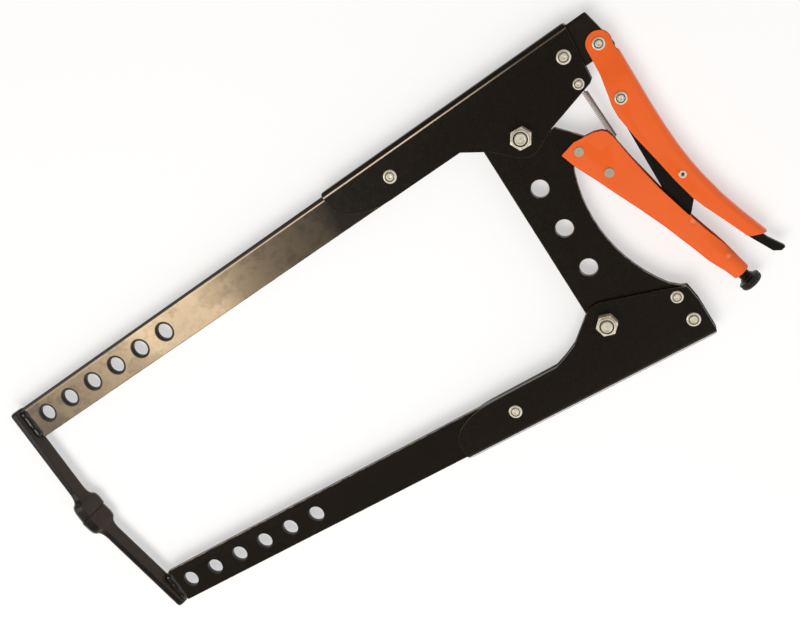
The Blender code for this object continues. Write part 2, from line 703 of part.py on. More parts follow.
PAD_REACH = 2 * PAD_RADIUS
lower_jaw = jaw_piece("lower_jaw", CONTACT_X, CONTACT_Y, JAW_LEAN, LOWER_JAW_LENGTH, True)
keep_parent(lower_jaw, fixed_frame)
upper_jaw_x = CONTACT_X + UPPER_JAW_OUT
upper_jaw_lean = UPPER_TILT + UPPER_JAW_LEAN
upper_jaw = jaw_piece("upper_jaw", upper_jaw_x, CONTACT_Y, upper_jaw_lean, UPPER_JAW_LENGTH, False)
keep_parent(upper_jaw, upper_frame)
for jaw, low_side, high_side in ((lower_jaw, -FIT / 2, PAD_REACH), (upper_jaw, -PAD_REACH, FIT / 2)):
    face_cut = plan_block(jaw.name + "_face", CONTACT_X, CONTACT_Y, JAW_LEAN, PAD_REACH, low_side, high_side)
    combine(jaw, face_cut, "DIFFERENCE")
weld_to_bar(lower_jaw, fixed_frame, LOWER_BAR_FRONT, -LOWER_BAR_DROP)
weld_to_bar(upper_jaw, upper_frame, UPPER_BAR_FRONT, UPPER_BAR_RISE)


# Handles: pressed channels, lofted through stations along their length
LIP_STEPS = 4
LIP_ANGLE = 83.0
LIP_RADIUS_SHARE = 0.95
FOLD_STEPS = 4


def channel_section(width, half, fold, closing):
    """Half of a channel's section from its lip to its web, as (distance from the web's face, height) pairs."""
    lip = half * LIP_RADIUS_SHARE * math.radians(LIP_ANGLE)
    if closing > 0:
        radius = half * LIP_RADIUS_SHARE / closing
        lip_start = width - radius * math.sin(lip / radius)
        turns = [lip * step / LIP_STEPS / radius for step in range(LIP_STEPS, -1, -1)]
        rim = [(lip_start + radius * math.sin(turn), half - radius * (1 - math.cos(turn))) for turn in turns]
    else:
        rim = [(width - lip * step / LIP_STEPS, half) for step in range(LIP_STEPS + 1)]
    turns = [math.radians(90 * step / FOLD_STEPS) for step in range(FOLD_STEPS + 1)]
    return rim + [(fold - fold * math.sin(turn), half - fold + fold * math.cos(turn)) for turn in turns]


def channel(name, frame, stations, side):
    """A sheet channel through stations of (along, web face, opening edge, half depth, fold, closing)."""
    work = bmesh.new()
    rings = []
    for along, web, edge, half, fold, closing in stations:
        section = channel_section(abs(edge - web), half, fold, closing)
        section += [(s, -z) for s, z in section[::-1] if abs(z) > MERGE]
        rings.append([work.verts.new((web + side * s, along, z)) for s, z in section])
    for first, second in zip(rings, rings[1:]):
        for index in range(len(first) - 1):
            work.faces.new((first[index], first[index + 1], second[index + 1], second[index]))
    bmesh.ops.recalc_face_normals(work, faces=work.faces)
    middle = work.faces[0]
    if middle.normal.z * middle.calc_center_median().z < 0:
        bmesh.ops.reverse_faces(work, faces=work.faces)
    mesh = bpy.data.meshes.new(name)
    work.to_mesh(mesh)
    work.free()
    piece = place(mesh_object(name, mesh), frame)
    wall = piece.modifiers.new("wall", "SOLIDIFY")
    wall.thickness = HANDLE_SHEET
    wall.offset = -1.0
    wall.use_even_offset = True
    return piece


# Upper handle, from its pivot downward in the handle's frame
EAR_HALF = BAR_THICKNESS / 2 + FIT + HANDLE_SHEET
HANDLE_HALF = 0.0063
HANDLE_FOLD = 0.0038
HANDLE_FOLD_SHARE = 0.7
HANDLE_WEB_OUT = 0.0085
EAR_RADIUS = 0.0081
EAR_START = -20
NOTCH_DEPTH = 0.0095
NOTCH_RADIUS = 0.0018
HANDLE_END_WIDTH = 0.0099
HANDLE_END_RADIUS = 0.0027
OPENING_SPARE = 0.0030
UPPER_WEB_SHARES = (
    (-0.080, 0.0, 0.0),
    (0.035, 0.0, 0.0),
    (0.095, 0.0, 0.34),
    (0.150, 0.0, 0.86),
    (0.184, 0.0, 1.0),
    (0.330, 0.0, 1.0),
    (0.430, 0.003, 1.0),
    (0.520, 0.009, 1.0),
    (0.600, 0.019, 1.0),
    (0.670, 0.031, 1.0),
    (0.784, 0.058, 1.0),
    (0.891, 0.092, 1.0),
    (1.000, 0.132, 1.0),
    (1.060, 0.155, 1.0),
)
UPPER_BACK_SHARES = ((0.900, 0.131), (0.600, 0.030), (0.400, 0.000))
UPPER_EDGE_SHARES = (
    (0.110, -0.0570),
    (0.200, -0.0715),
    (0.240, -0.0800),
    (0.295, -0.0805),
    (0.400, -0.0640),
    (0.517, -0.0390),
    (0.640, -0.0150),
    (0.740, 0.0100),
    (0.790, 0.0300),
    (0.975, 0.1128),
)


def upper_handle_piece():
    """The orange upper handle: ears at the pivot, a notch above the web, and an open channel below."""
    reach = min(x for y, x in UPPER_EDGE_SHARES) * HANDLE_LENGTH - OPENING_SPARE - HANDLE_WEB_OUT
    stations = []
    for along, out, depth in UPPER_WEB_SHARES:
        web = HANDLE_WEB_OUT + out * HANDLE_LENGTH
        half = EAR_HALF + (HANDLE_HALF - EAR_HALF) * depth
        fold = min(HANDLE_FOLD, half * HANDLE_FOLD_SHARE)
        stations.append((-along * HANDLE_LENGTH, web, web + reach, half, fold, 0.0))
    handle = channel("upper_handle", handle_frame, stations[::-1], -1)
    beyond = HANDLE_WEB_OUT + OPENING_SPARE
    end_x = HANDLE_WEB_OUT + UPPER_WEB_SHARES[-2][1] * HANDLE_LENGTH
    outline = [(HANDLE_LENGTH * x, -HANDLE_LENGTH * y) for y, x in UPPER_EDGE_SHARES]
    end = rounded(
        [
            (outline[-1][0], outline[-1][1], 0.0),
            (end_x - HANDLE_END_WIDTH, -HANDLE_LENGTH - HANDLE_SHEET / 2, HANDLE_END_RADIUS),
            (end_x + OPENING_SPARE, -HANDLE_LENGTH + HANDLE_SHEET, 0.0),
        ]
    )
    outline += end[1:]
    outline += [(beyond + x * HANDLE_LENGTH, -y * HANDLE_LENGTH) for y, x in UPPER_BACK_SHARES]
    outline += [(beyond, -NOTCH_DEPTH)]
    notch_x = EAR_RADIUS + NOTCH_RADIUS / 2
    outline += arc(notch_x, -NOTCH_DEPTH + HANDLE_SHEET, NOTCH_RADIUS, 270, 180, 4)
    outline += arc(0.0, 0.0, EAR_RADIUS, EAR_START, 180, 14)
    tool = place(prism("upper_handle_outline", outline, -2 * HANDLE_HALF, 2 * HANDLE_HALF), handle_frame)
    combine(handle, tool, "INTERSECT")
    slot = slot_block("upper_handle_slot", handle_frame, 0.0, 2 * NOTCH_DEPTH, -NOTCH_DEPTH, 2 * NOTCH_DEPTH)
    combine(handle, slot, "DIFFERENCE")
    drill(handle, 0.0, 0.0, RIVET_SHANK_RADIUS + FIT, HANDLE_HALF, SMALL)
    drill(handle, -LINK_PIVOT_BACK, -LINK_PIVOT_DROP, RIVET_SHANK_RADIUS + FIT, HANDLE_HALF, SMALL)
    drill(handle, LEVER_PIVOT_OUT, -LEVER_PIVOT_DROP, LEVER_RIVET_SHANK_RADIUS + FIT, HANDLE_HALF, SMALL)
    return handle


upper_handle = upper_handle_piece()

# Fixed handle, from its tube's open end to its tip, in shares of its length and of the tube's radius
FIXED_TIP_HALF = EAR_HALF
FIXED_FOLD = 0.0024
FIXED_STATION_SHARES = (
    (0.000, -0.997, 0.997, 1.0, 1.0, 1.0),
    (0.060, -1.145, 1.050, 1.0, 1.0, 1.0),
    (0.110, -1.384, 1.098, 1.0, 0.9, 0.9),
    (0.150, -1.527, 1.121, 0.98, 0.7, 0.6),
    (0.210, -1.587, 1.050, 0.95, 0.3, 0.2),
    (0.270, -1.694, 0.931, 0.92, 0.2, 0.0),
    (0.360, -1.897, 0.847, 0.88, 0.15, 0.0),
    (0.410, -1.992, 1.312, 0.86, 0.1, 0.0),
    (0.550, -2.458, 1.527, 0.8, 0.1, 0.0),
    (0.670, -2.935, 1.813, 0.66, 0.05, 0.0),
    (0.745, -3.245, 2.052, 0.1, 0.0, 0.0),
    (0.790, -3.412, 2.195, 0.0, 0.0, 0.0),
    (0.906, -3.913, 2.386, 0.0, 0.0, 0.0),
    (1.040, -4.486, 2.386, 0.0, 0.0, 0.0),
)
FIXED_TUBE_SHARE = 0.35
FIXED_SLOT_SHARE = 0.87
FIXED_HEEL_SHARES = ((0.906, -3.913), (0.885, -5.726))
FIXED_EDGE_SHARES = (
    (0.375, 0.811),
    (0.564, 0.773),
    (0.655, 0.895),
    (0.754, 1.052),
    (0.855, 1.315),
    (0.885, 1.422),
    (0.921, 1.370),
    (0.944, 1.000),
    (0.965, 0.246),
    (0.981, -0.826),
    (0.999, -2.028),
    (0.997, -3.965),
)


def fixed_handle_piece():
    """The orange fixed handle: a channel on the body plate's tongue that closes to a tube for the screw."""
    stations = []
    for along, web, edge, depth, fold, closing in FIXED_STATION_SHARES:
        half = FIXED_TIP_HALF + (TUBE_RADIUS - FIXED_TIP_HALF) * depth
        radius = FIXED_FOLD + (half - FIT - FIXED_FOLD) * fold
        stations.append((along * FIXED_LENGTH, web * TUBE_RADIUS, edge * TUBE_RADIUS, half, radius, closing))
    handle = channel("fixed_handle", screw_frame, stations, 1)
    beyond = 3 * TUBE_RADIUS
    outline = [(-3 * beyond, -beyond), (beyond, -beyond), (beyond, FIXED_TUBE_SHARE * FIXED_LENGTH)]
    rim = FIXED_EDGE_SHARES + FIXED_HEEL_SHARES
    outline += [(across * TUBE_RADIUS, along * FIXED_LENGTH) for along, across in rim]
    tool = place(prism("fixed_handle_outline", outline, -beyond, beyond), screw_frame)
    combine(handle, tool, "INTERSECT")
    low, high = FIXED_SLOT_SHARE * FIXED_LENGTH, FIXED_LENGTH + beyond
    combine(handle, slot_block("fixed_handle_slot", screw_frame, -3 * beyond, -beyond, low, high), "DIFFERENCE")
    for x, y in (UPPER_GREY_RIVET, LOWER_GREY_RIVET):
        tool = cylinder("grey_rivet_drill", GREY_RIVET_SHANK_RADIUS + FIT, -beyond, beyond, SMALL)
        combine(handle, place(tool, fixed_frame, x, y), "DIFFERENCE")
    return handle


# Screw and knob, on the screw's axis, with the knob's profile from its neck to its back
SCREW_RADIUS = 0.0039
SCREW_CHAMFER = 0.0012
SCREW_NECK = 0.0042
STUB_RADIUS = 0.0023
KNOB_RADIUS = 0.0075
KNOB_LENGTH = 0.0073
KNOB_BORE_DEPTH = 0.0045
KNOB_PROFILE_SHARES = (
    (0.62, 0.00),
    (0.65, 0.12),
    (0.78, 0.19),
    (0.97, 0.25),
    (1.00, 0.32),
    (1.00, 0.42),
    (0.94, 0.48),
    (1.00, 0.54),
    (1.00, 0.62),
    (0.93, 0.82),
    (0.78, 0.93),
    (0.55, 1.00),
    (0.00, 1.00),
)


def along_screw(piece):
    """Turns a piece made along +Z so that it lies along the screw's axis, toward the tip."""
    piece.parent = screw_frame
    piece.matrix_parent_inverse = Matrix.Identity(4)
    piece.matrix_local = Matrix.Rotation(math.radians(-90), 4, "X")
    return piece


def screw_piece():
    """The adjusting screw's rod: a chamfered tip, and a stub that the knob is fixed on."""
    profile = [
        (0.0, SCREW_INSIDE),
        (SCREW_RADIUS - SCREW_CHAMFER, SCREW_INSIDE),
        (SCREW_RADIUS, SCREW_INSIDE - SCREW_CHAMFER),
        (SCREW_RADIUS, -SCREW_NECK + FIT),
        (STUB_RADIUS, -SCREW_NECK + FIT),
        (STUB_RADIUS, -SCREW_NECK - KNOB_BORE_DEPTH + FIT),
        (0.0, -SCREW_NECK - KNOB_BORE_DEPTH + FIT),
    ]
    return along_screw(turned_solid("adjusting_screw", profile, ROUND))


def knob_piece():
    """The knob: a neck, a flange with a groove round its rim, a rounded back and a bore for the stub."""
    top = -SCREW_NECK
    bore = [(0.0, top - KNOB_BORE_DEPTH), (STUB_RADIUS + FIT, top - KNOB_BORE_DEPTH), (STUB_RADIUS + FIT, top)]
    outside = [(KNOB_RADIUS * across, top - KNOB_LENGTH * down) for across, down in KNOB_PROFILE_SHARES]
    return along_screw(turned_solid("adjusting_knob", bore + outside, ROUND))


fixed_handle = fixed_handle_piece()
screw_bore = cylinder("screw_bore", SCREW_RADIUS + 2 * FIT, -OVERRUN, SCREW_INSIDE + OVERRUN)
combine(fixed_handle, along_screw(screw_bore), "DIFFERENCE")
adjusting_screw = screw_piece()
adjusting_knob = knob_piece()

# Toggle link and release lever
LINK_HUB_RADIUS = 0.0066
HUB_HALF = HANDLE_HALF - HANDLE_SHEET - FIT
LINK_NOSE_END = 318
LINK_KNEE_SHARES = (
    (0.115, 0.060),
    (0.095, 0.068),
    (0.060, 0.200),
    (0.064, 0.330),
    (0.080, 0.600),
    (0.084, 0.900),
)
LEVER_HUB_RADIUS = 0.0042
LEVER_OUTER_SHARES = (
    (0.0530, 0.020),
    (0.0700, 0.160),
    (0.1250, 0.330),
    (0.2000, 0.530),
    (0.2950, 0.760),
    (0.3720, 0.880),
    (0.3680, 0.892),
)
LEVER_INNER_SHARES = (
    (0.3340, 0.901),
    (0.2810, 0.873),
    (0.1960, 0.715),
    (0.1350, 0.590),
    (0.0650, 0.395),
    (0.0330, 0.285),
    (0.0100, 0.215),
    (0.0060, 0.165),
    (-0.0200, 0.050),
)


def toggle_link_piece():
    """The toggle link: a hub at its pivot, a straight back, a knee, and a round nose at the screw's tip."""
    outline = arc(0.0, 0.0, LINK_HUB_RADIUS, 0, 180, 10)
    outline += arc(0.0, -link_length, LINK_NOSE_RADIUS, 180, LINK_NOSE_END, 8)
    outline += [(link_length * across, link_length * up - link_length) for across, up in LINK_KNEE_SHARES]
    link = place(flat_solid("toggle_link", outline, BAR_THICKNESS), link_frame)
    hub = place(cylinder("toggle_link_hub", LINK_HUB_RADIUS - FIT, -HUB_HALF, HUB_HALF), link_frame)
    combine(link, hub, "UNION")
    return drill(link, 0.0, 0.0, RIVET_SHANK_RADIUS + FIT, HUB_HALF, SMALL)


def release_lever_piece():
    """The release lever in the upper handle, with its hub and the tail that sticks out of the handle's end."""
    outline = arc(0.0, 0.0, LEVER_HUB_RADIUS, 0, 180, 8)
    outline += [(x * LEVER_LENGTH, -y * LEVER_LENGTH) for x, y in LEVER_INNER_SHARES[::-1]]
    outline += [(x * LEVER_LENGTH, -y * LEVER_LENGTH) for x, y in LEVER_OUTER_SHARES[::-1]]
    lever = place(flat_solid("release_lever", outline, BAR_THICKNESS), lever_frame)
    hub = place(cylinder("release_lever_hub", LEVER_HUB_RADIUS - FIT, -HUB_HALF, HUB_HALF), lever_frame)
    combine(lever, hub, "UNION")
    return drill(lever, 0.0, 0.0, LEVER_RIVET_SHANK_RADIUS + FIT, HUB_HALF, SMALL)


toggle_link = toggle_link_piece()
release_lever = release_lever_piece()


# Bolts, nuts, washers and rivets
def hex_solid(name, flats, low, high):
    """A hexagonal block between two heights."""
    block = flat_solid(name, hexagon(flats), high - low)
    block.data.transform(Matrix.Translation((0.0, 0.0, (high + low) / 2)))
    return block


def bolt_piece(name, frame, x, y):
    """A hexagon bolt with its head below and its end just past the nut."""
    bolt = place(hex_solid(name, HEX_FLATS, -HEAD_SEAT_HALF - HEAD_HEIGHT, -HEAD_SEAT_HALF), frame, x, y)
    end = COVER_HALF + SEAT + NUT_HEIGHT + NUT_COLLAR_HEIGHT + BOLT_END
    chamfer = BOLT_END
    profile = [(0.0, end), (BOLT_RADIUS - chamfer, end), (BOLT_RADIUS, end - chamfer)]
    profile += [(BOLT_RADIUS, -HEAD_SEAT_HALF - HEAD_HEIGHT / 2), (0.0, -HEAD_SEAT_HALF - HEAD_HEIGHT / 2)]
    return combine(bolt, place(turned_solid(name + "_shank", profile, ROUND), frame, x, y), "UNION")


def nut_piece(name, frame, x, y, turn):
    """A lock nut: a hexagon with a rounded collar that holds its locking ring."""
    low = COVER_HALF + SEAT
    nut = place(hex_solid(name, HEX_FLATS, low, low + NUT_HEIGHT), frame, x, y, 0.0, turn)
    top = low + NUT_HEIGHT + NUT_COLLAR_HEIGHT
    round_off = NUT_COLLAR_HEIGHT / 2
    profile = [
        (0.0, top),
        (NUT_COLLAR_RADIUS - round_off, top),
        (NUT_COLLAR_RADIUS, top - round_off),
        (NUT_COLLAR_RADIUS, top - NUT_COLLAR_HEIGHT - NUT_HEIGHT / 3),
        (0.0, top - NUT_COLLAR_HEIGHT - NUT_HEIGHT / 3),
    ]
    combine(nut, place(turned_solid(name + "_collar", profile, ROUND), frame, x, y), "UNION")
    bore = cylinder(name + "_bore", BOLT_RADIUS + FIT, 0.0, 2 * top)
    return combine(nut, place(bore, frame, x, y), "DIFFERENCE")


def washer_piece(name, frame, x, y):
    """A flat washer between the bolt's head and the cover below."""
    high = -COVER_HALF - SEAT
    low = high - WASHER_THICKNESS
    bore = BOLT_RADIUS + FIT
    profile = [(bore, high), (WASHER_RADIUS, high), (WASHER_RADIUS, low), (bore, low), (bore, high)]
    return place(turned_solid(name, profile, ROUND), frame, x, y)


def rivet_piece(name, frame, x, y, head, shank, seat, height, dimple):
    """A rivet with a dimpled head on each side, seated at a height from the middle plane."""
    top = seat + SEAT + height
    floor_share, mouth_share = DIMPLE_SHARES
    half = [
        (0.0, top - dimple),
        (head * floor_share, top - dimple),
        (head * mouth_share, top),
        (head - height / 2, top),
        (head, top - height / 2),
        (head, seat + SEAT),
        (shank, seat + SEAT),
    ]
    profile = half + [(r, -z) for r, z in half[::-1]]
    return place(turned_solid(name, profile, SMALL), frame, x, y)


def hollow_rivet_piece(name, frame, x, y, seat):
    """The lever's hollow rivet: a tube rolled over at both ends."""
    bore, shank, head = LEVER_RIVET_BORE_RADIUS, LEVER_RIVET_SHANK_RADIUS, LEVER_RIVET_RADIUS
    top = seat + SEAT + RIVET_DIMPLE_DEPTH
    half = [(bore, top), (head - RIVET_DIMPLE_DEPTH / 2, top), (head, seat + SEAT), (shank, seat + SEAT)]
    profile = half + [(r, -z) for r, z in half[::-1]] + [half[0]]
    return place(turned_solid(name, profile, SMALL), frame, x, y)


lower_bolt = bolt_piece("lower_bolt", fixed_frame, 0.0, 0.0)
lower_nut = nut_piece("lower_nut", fixed_frame, 0.0, 0.0, LOWER_NUT_TURN)
lower_washer = washer_piece("lower_washer", fixed_frame, 0.0, 0.0)
pivot_bolt = bolt_piece("pivot_bolt", upper_frame, 0.0, 0.0)
pivot_nut = nut_piece("pivot_nut", upper_frame, 0.0, 0.0, PIVOT_NUT_TURN)
pivot_washer = washer_piece("pivot_washer", upper_frame, 0.0, 0.0)

COVER_RIVETS = (
    ("lower_front_rivet", fixed_frame, LOWER_FRONT_RIVET, COVER_RIVET_RADIUS),
    ("lower_rear_rivet", fixed_frame, LOWER_REAR_RIVET, COVER_RIVET_RADIUS),
    ("plate_rivet", fixed_frame, PLATE_RIVET, PLATE_RIVET_RADIUS),
    ("upper_front_rivet", upper_frame, UPPER_FRONT_RIVET, COVER_RIVET_RADIUS),
    ("upper_rear_rivet", upper_frame, UPPER_REAR_RIVET, COVER_RIVET_RADIUS),
    ("spring_pin", upper_frame, SPRING_PIN, SPRING_PIN_RADIUS),
)
HANDLE_RIVETS = (
    ("handle_pivot_rivet", 0.0, 0.0, EAR_HALF),
    ("link_pivot_rivet", -LINK_PIVOT_BACK, -LINK_PIVOT_DROP, HANDLE_HALF),
)
GREY_RIVETS = (("tongue_rivet_upper", UPPER_GREY_RIVET), ("tongue_rivet_lower", LOWER_GREY_RIVET))
rivets = [
    rivet_piece(name, frame, x, y, head, RIVET_SHANK_RADIUS, COVER_HALF, RIVET_HEAD_HEIGHT, RIVET_DIMPLE_DEPTH)
    for name, frame, (x, y), head in COVER_RIVETS
]
rivets += [
    rivet_piece(name, handle_frame, x, y, HANDLE_RIVET_RADIUS, RIVET_SHANK_RADIUS, seat,
                RIVET_HEAD_HEIGHT, RIVET_DIMPLE_DEPTH)
    for name, x, y, seat in HANDLE_RIVETS
]
rivets += [
    rivet_piece(name, fixed_frame, x, y, GREY_RIVET_RADIUS, GREY_RIVET_SHANK_RADIUS, FIXED_TIP_HALF,
                GREY_RIVET_HEAD_HEIGHT, GREY_RIVET_HEAD_HEIGHT / 4)
    for name, (x, y) in GREY_RIVETS
]
lever_rivet = hollow_rivet_piece("lever_rivet", handle_frame, LEVER_PIVOT_OUT, -LEVER_PIVOT_DROP, HANDLE_HALF)


# Tension spring: close coils with room to shrink, hooked on the spring pin and in the body plate's ear
SPRING_WIRE = 0.0006
SPRING_RADIUS = 0.0014
SPRING_PITCH = 0.00125
SPRING_TURNS = 28
TURN_POINTS = 9
HOOK_CLEAR = 0.0003
LOOP_POINTS = 12
LOOP_START = -60
LOOP_SWEEP = 250
COIL_ENTRY_SHARE = 0.6


def spring_path():
    """Centre line of the spring: a loop round the pin, the coils, a leg and a hook through the ear."""
    pin = Matrix.Rotation(UPPER_TILT, 3, "Z") @ Vector((*SPRING_PIN, 0.0)) + Vector((PIVOT_X, PIVOT_Y, 0.0))
    ear = Vector((*SPRING_EAR, 0.0))
    wire = SPRING_WIRE / 2
    down = (ear - pin).normalized()
    side = Vector((-down.y, down.x, 0.0))
    lift = Vector((0.0, 0.0, 1.0))
    loop = RIVET_SHANK_RADIUS + HOOK_CLEAR + wire
    points = []
    for step in range(LOOP_POINTS + 1):
        angle = math.radians(LOOP_START - LOOP_SWEEP * step / LOOP_POINTS)
        points.append(pin + down * loop * math.cos(angle) + side * loop * math.sin(angle))
    start = pin + down * (loop + 2 * SPRING_WIRE + SPRING_RADIUS)
    points.append(start - down * SPRING_RADIUS * COIL_ENTRY_SHARE)
    for step in range(SPRING_TURNS * TURN_POINTS + 1):
        angle = 2 * math.pi * step / TURN_POINTS
        along = start + down * (SPRING_PITCH * step / TURN_POINTS)
        grow = min(1.0, step / TURN_POINTS * 2, (SPRING_TURNS * TURN_POINTS - step) / TURN_POINTS * 2)
        points.append(along + (side * math.cos(angle) + lift * math.sin(angle)) * SPRING_RADIUS * grow)
    over = BAR_THICKNESS / 2 + HOOK_CLEAR + wire
    edge = SPRING_EAR_RADIUS + HOOK_CLEAR
    hook = [(edge + 3 * over, 0.0), (edge + 3 * over / 2, 0.0), (edge + over / 4, over), (wire * 2, over)]
    hook += [(0.0, BAR_THICKNESS / 2), (0.0, -BAR_THICKNESS / 2)]
    return points + [ear - down * back + lift * up for back, up in hook]


def least_gap(points, wire, apart):
    """Least clear distance of a round wire to itself, between points that lie some steps apart."""
    least = math.inf
    for index, point in enumerate(points):
        for other in points[index + apart:]:
            least = min(least, (point - other).length)
    return least - wire


def spring_piece():
    """The tension spring as one wire."""
    points = spring_path()
    curve = bpy.data.curves.new("tension_spring", "CURVE")
    curve.dimensions = "3D"
    curve.bevel_depth = SPRING_WIRE / 2
    curve.bevel_resolution = 1
    curve.use_fill_caps = True
    spline = curve.splines.new("POLY")
    spline.points.add(len(points) - 1)
    for target, point in zip(spline.points, points):
        target.co = (*point, 1.0)
    spring = bpy.data.objects.new("tension_spring", curve)
    PARTS.objects.link(spring)
    return place(spring, fixed_frame)


tension_spring = spring_piece()
coil_start = LOOP_POINTS + 2
coil_points = spring_path()[coil_start:coil_start + SPRING_TURNS * TURN_POINTS]
coil_gap = least_gap(coil_points, SPRING_WIRE, TURN_POINTS - 2)
print("least gap between the spring's coils, mm:", round(1000 * coil_gap, 3))

FINISHES = {
    "lower_arm": BLACK_PAINT,
    "upper_arm": BLACK_PAINT,
    "lower_cover": BLACK_PAINT,
    "upper_cover": BLACK_PAINT,
    "body_plate": BLACK_PAINT,
    "lower_jaw": BLACK_FORGED,
    "upper_jaw": BLACK_FORGED,
    "upper_handle": ORANGE_PAINT,
    "fixed_handle": ORANGE_PAINT,
    "toggle_link": BLACK_OXIDE,
    "release_lever": BLACK_OXIDE,
    "adjusting_screw": BLACK_OXIDE,
    "adjusting_knob": BLACK_OXIDE,
    "tongue_rivet_upper": GREY_STEEL,
    "tongue_rivet_lower": GREY_STEEL,
}
for piece in PARTS.objects:
    if piece.type == "MESH":
        finish_piece(piece, FINISHES.get(piece.name, ZINC))
tension_spring.data.materials.append(material_for("tension_spring", SPRING_STEEL))
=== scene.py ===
import json
import math

import bpy
from mathutils import Matrix, Vector


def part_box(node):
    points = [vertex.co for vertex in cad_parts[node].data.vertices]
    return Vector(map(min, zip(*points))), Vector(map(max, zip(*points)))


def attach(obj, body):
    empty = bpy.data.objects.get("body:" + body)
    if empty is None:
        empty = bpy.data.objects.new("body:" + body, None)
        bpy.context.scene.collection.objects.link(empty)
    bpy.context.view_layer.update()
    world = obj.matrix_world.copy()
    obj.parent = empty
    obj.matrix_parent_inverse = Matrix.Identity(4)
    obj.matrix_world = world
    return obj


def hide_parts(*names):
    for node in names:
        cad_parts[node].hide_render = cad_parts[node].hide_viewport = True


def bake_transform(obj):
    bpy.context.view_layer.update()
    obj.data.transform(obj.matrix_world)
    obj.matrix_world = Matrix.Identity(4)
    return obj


bl_info = {
    "name": "Locking clamp",
    "version": (1, 0, 0),
    "blender": (4, 5, 0),
    "location": "3D Viewport > Sidebar > Clamp",
    "description": "Dresses the packed clamp with painted, plated and forged pieces and sets its studio",
    "category": "Object",
}

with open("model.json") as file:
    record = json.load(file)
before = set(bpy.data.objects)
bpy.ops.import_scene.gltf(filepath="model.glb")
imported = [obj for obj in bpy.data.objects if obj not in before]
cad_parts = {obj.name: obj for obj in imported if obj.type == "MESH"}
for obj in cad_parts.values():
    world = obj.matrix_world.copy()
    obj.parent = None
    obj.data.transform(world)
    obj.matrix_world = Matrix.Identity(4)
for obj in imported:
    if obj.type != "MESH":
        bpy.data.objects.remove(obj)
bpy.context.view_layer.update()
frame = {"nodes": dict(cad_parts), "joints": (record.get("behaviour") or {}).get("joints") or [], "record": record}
NODES = frame["nodes"]
BODIES = frame["record"]["behaviour"]["bodies"]
BODY_OF = {node: body for body, nodes in BODIES.items() for node in nodes}
JOINTS = {joint["name"]: joint for joint in frame["joints"]}

# Heights from the bench, and the directions of the tilted parts, in the frame of the CAD
MID_HEIGHT = 0.0112
UPPER_TILT = math.radians(2.4257)
SCREW_AXIS = Vector(JOINTS["screw_travel"]["axis"]).normalized()
TUBE_END = Vector(JOINTS["knob_turn"]["pos_m"])
PIVOT = Vector(JOINTS["arm_pivot"]["pos_m"])
LOWER_ORIGIN = Vector((0.0, 0.0, MID_HEIGHT))
LEVER_PIVOT = Vector(JOINTS["lever_pivot"]["pos_m"])
JAW_CONTACT = Vector((-0.4285, 0.0588, MID_HEIGHT))
JAW_LEAN = math.radians(12.2)


# What a user would change
class ClampSizes(bpy.types.PropertyGroup):
    """Sizes of what this file adds to the clamp"""
    bar_edge: bpy.props.FloatProperty(
        name="Bar edge", description="Rounding of the bars' edges", default=0.00040, unit="LENGTH")
    sheet_edge: bpy.props.FloatProperty(
        name="Sheet edge", description="Rounding of the sheets' edges", default=0.00028, unit="LENGTH")
    hole_edge: bpy.props.FloatProperty(
        name="Hole edge", description="Rounding of the bars' holes", default=0.00075, unit="LENGTH")
    nut_flats: bpy.props.FloatProperty(
        name="Nut flats", description="Width across the flats of nuts and bolt heads", unit="LENGTH",
        default=0.0130)
    thread_pitch: bpy.props.FloatProperty(
        name="Thread pitch", description="Pitch of the bolts' and the screw's threads", unit="LENGTH",
        default=0.00125)
    spring_wire: bpy.props.FloatProperty(
        name="Spring wire", description="Diameter of the spring's wire", default=0.0007, unit="LENGTH")
    spring_turns: bpy.props.IntProperty(
        name="Spring turns", description="Number of coils of the spring", default=33)


class ClampColours(bpy.types.PropertyGroup):
    """Colours of the clamp's finishes and of the floor"""
    black: bpy.props.FloatVectorProperty(
        name="Black enamel", description="Colour of the bars, covers and plate", subtype="COLOR", size=3,
        default=(0.0067, 0.0045, 0.0027))
    # The bronze is painted into the upper bar's thin enamel as a sheen, a painted reflection
    bronze: bpy.props.FloatVectorProperty(
        name="Bronze sheen", description="Sheen of the upper bar's thin enamel", subtype="COLOR", size=3,
        default=(0.460, 0.355, 0.232))
    forged: bpy.props.FloatVectorProperty(
        name="Forged black", description="Colour of the jaws", subtype="COLOR", size=3,
        default=(0.0260, 0.0170, 0.0115))
    orange: bpy.props.FloatVectorProperty(
        name="Orange enamel", description="Colour of the two handles", subtype="COLOR", size=3,
        default=(0.805, 0.118, 0.013))
    zinc: bpy.props.FloatVectorProperty(
        name="Zinc", description="Colour of the plated fasteners", subtype="COLOR", size=3,
        default=(0.90, 0.85, 0.74))
    grey: bpy.props.FloatVectorProperty(
        name="Dull grey", description="Colour of the fixed handle's rivets", subtype="COLOR", size=3,
        default=(0.52, 0.47, 0.38))
    oxide: bpy.props.FloatVectorProperty(
        name="Black oxide", description="Colour of the link, lever, screw and knob", subtype="COLOR", size=3,
        default=(0.0053, 0.0042, 0.0032))
    spring: bpy.props.FloatVectorProperty(
        name="Spring steel", description="Colour of the spring's wire", subtype="COLOR", size=3,
        default=(0.480, 0.390, 0.330))
    floor: bpy.props.FloatVectorProperty(
        name="Floor", description="Colour of the studio floor", subtype="COLOR", size=3,
        default=(0.98, 0.98, 0.98))


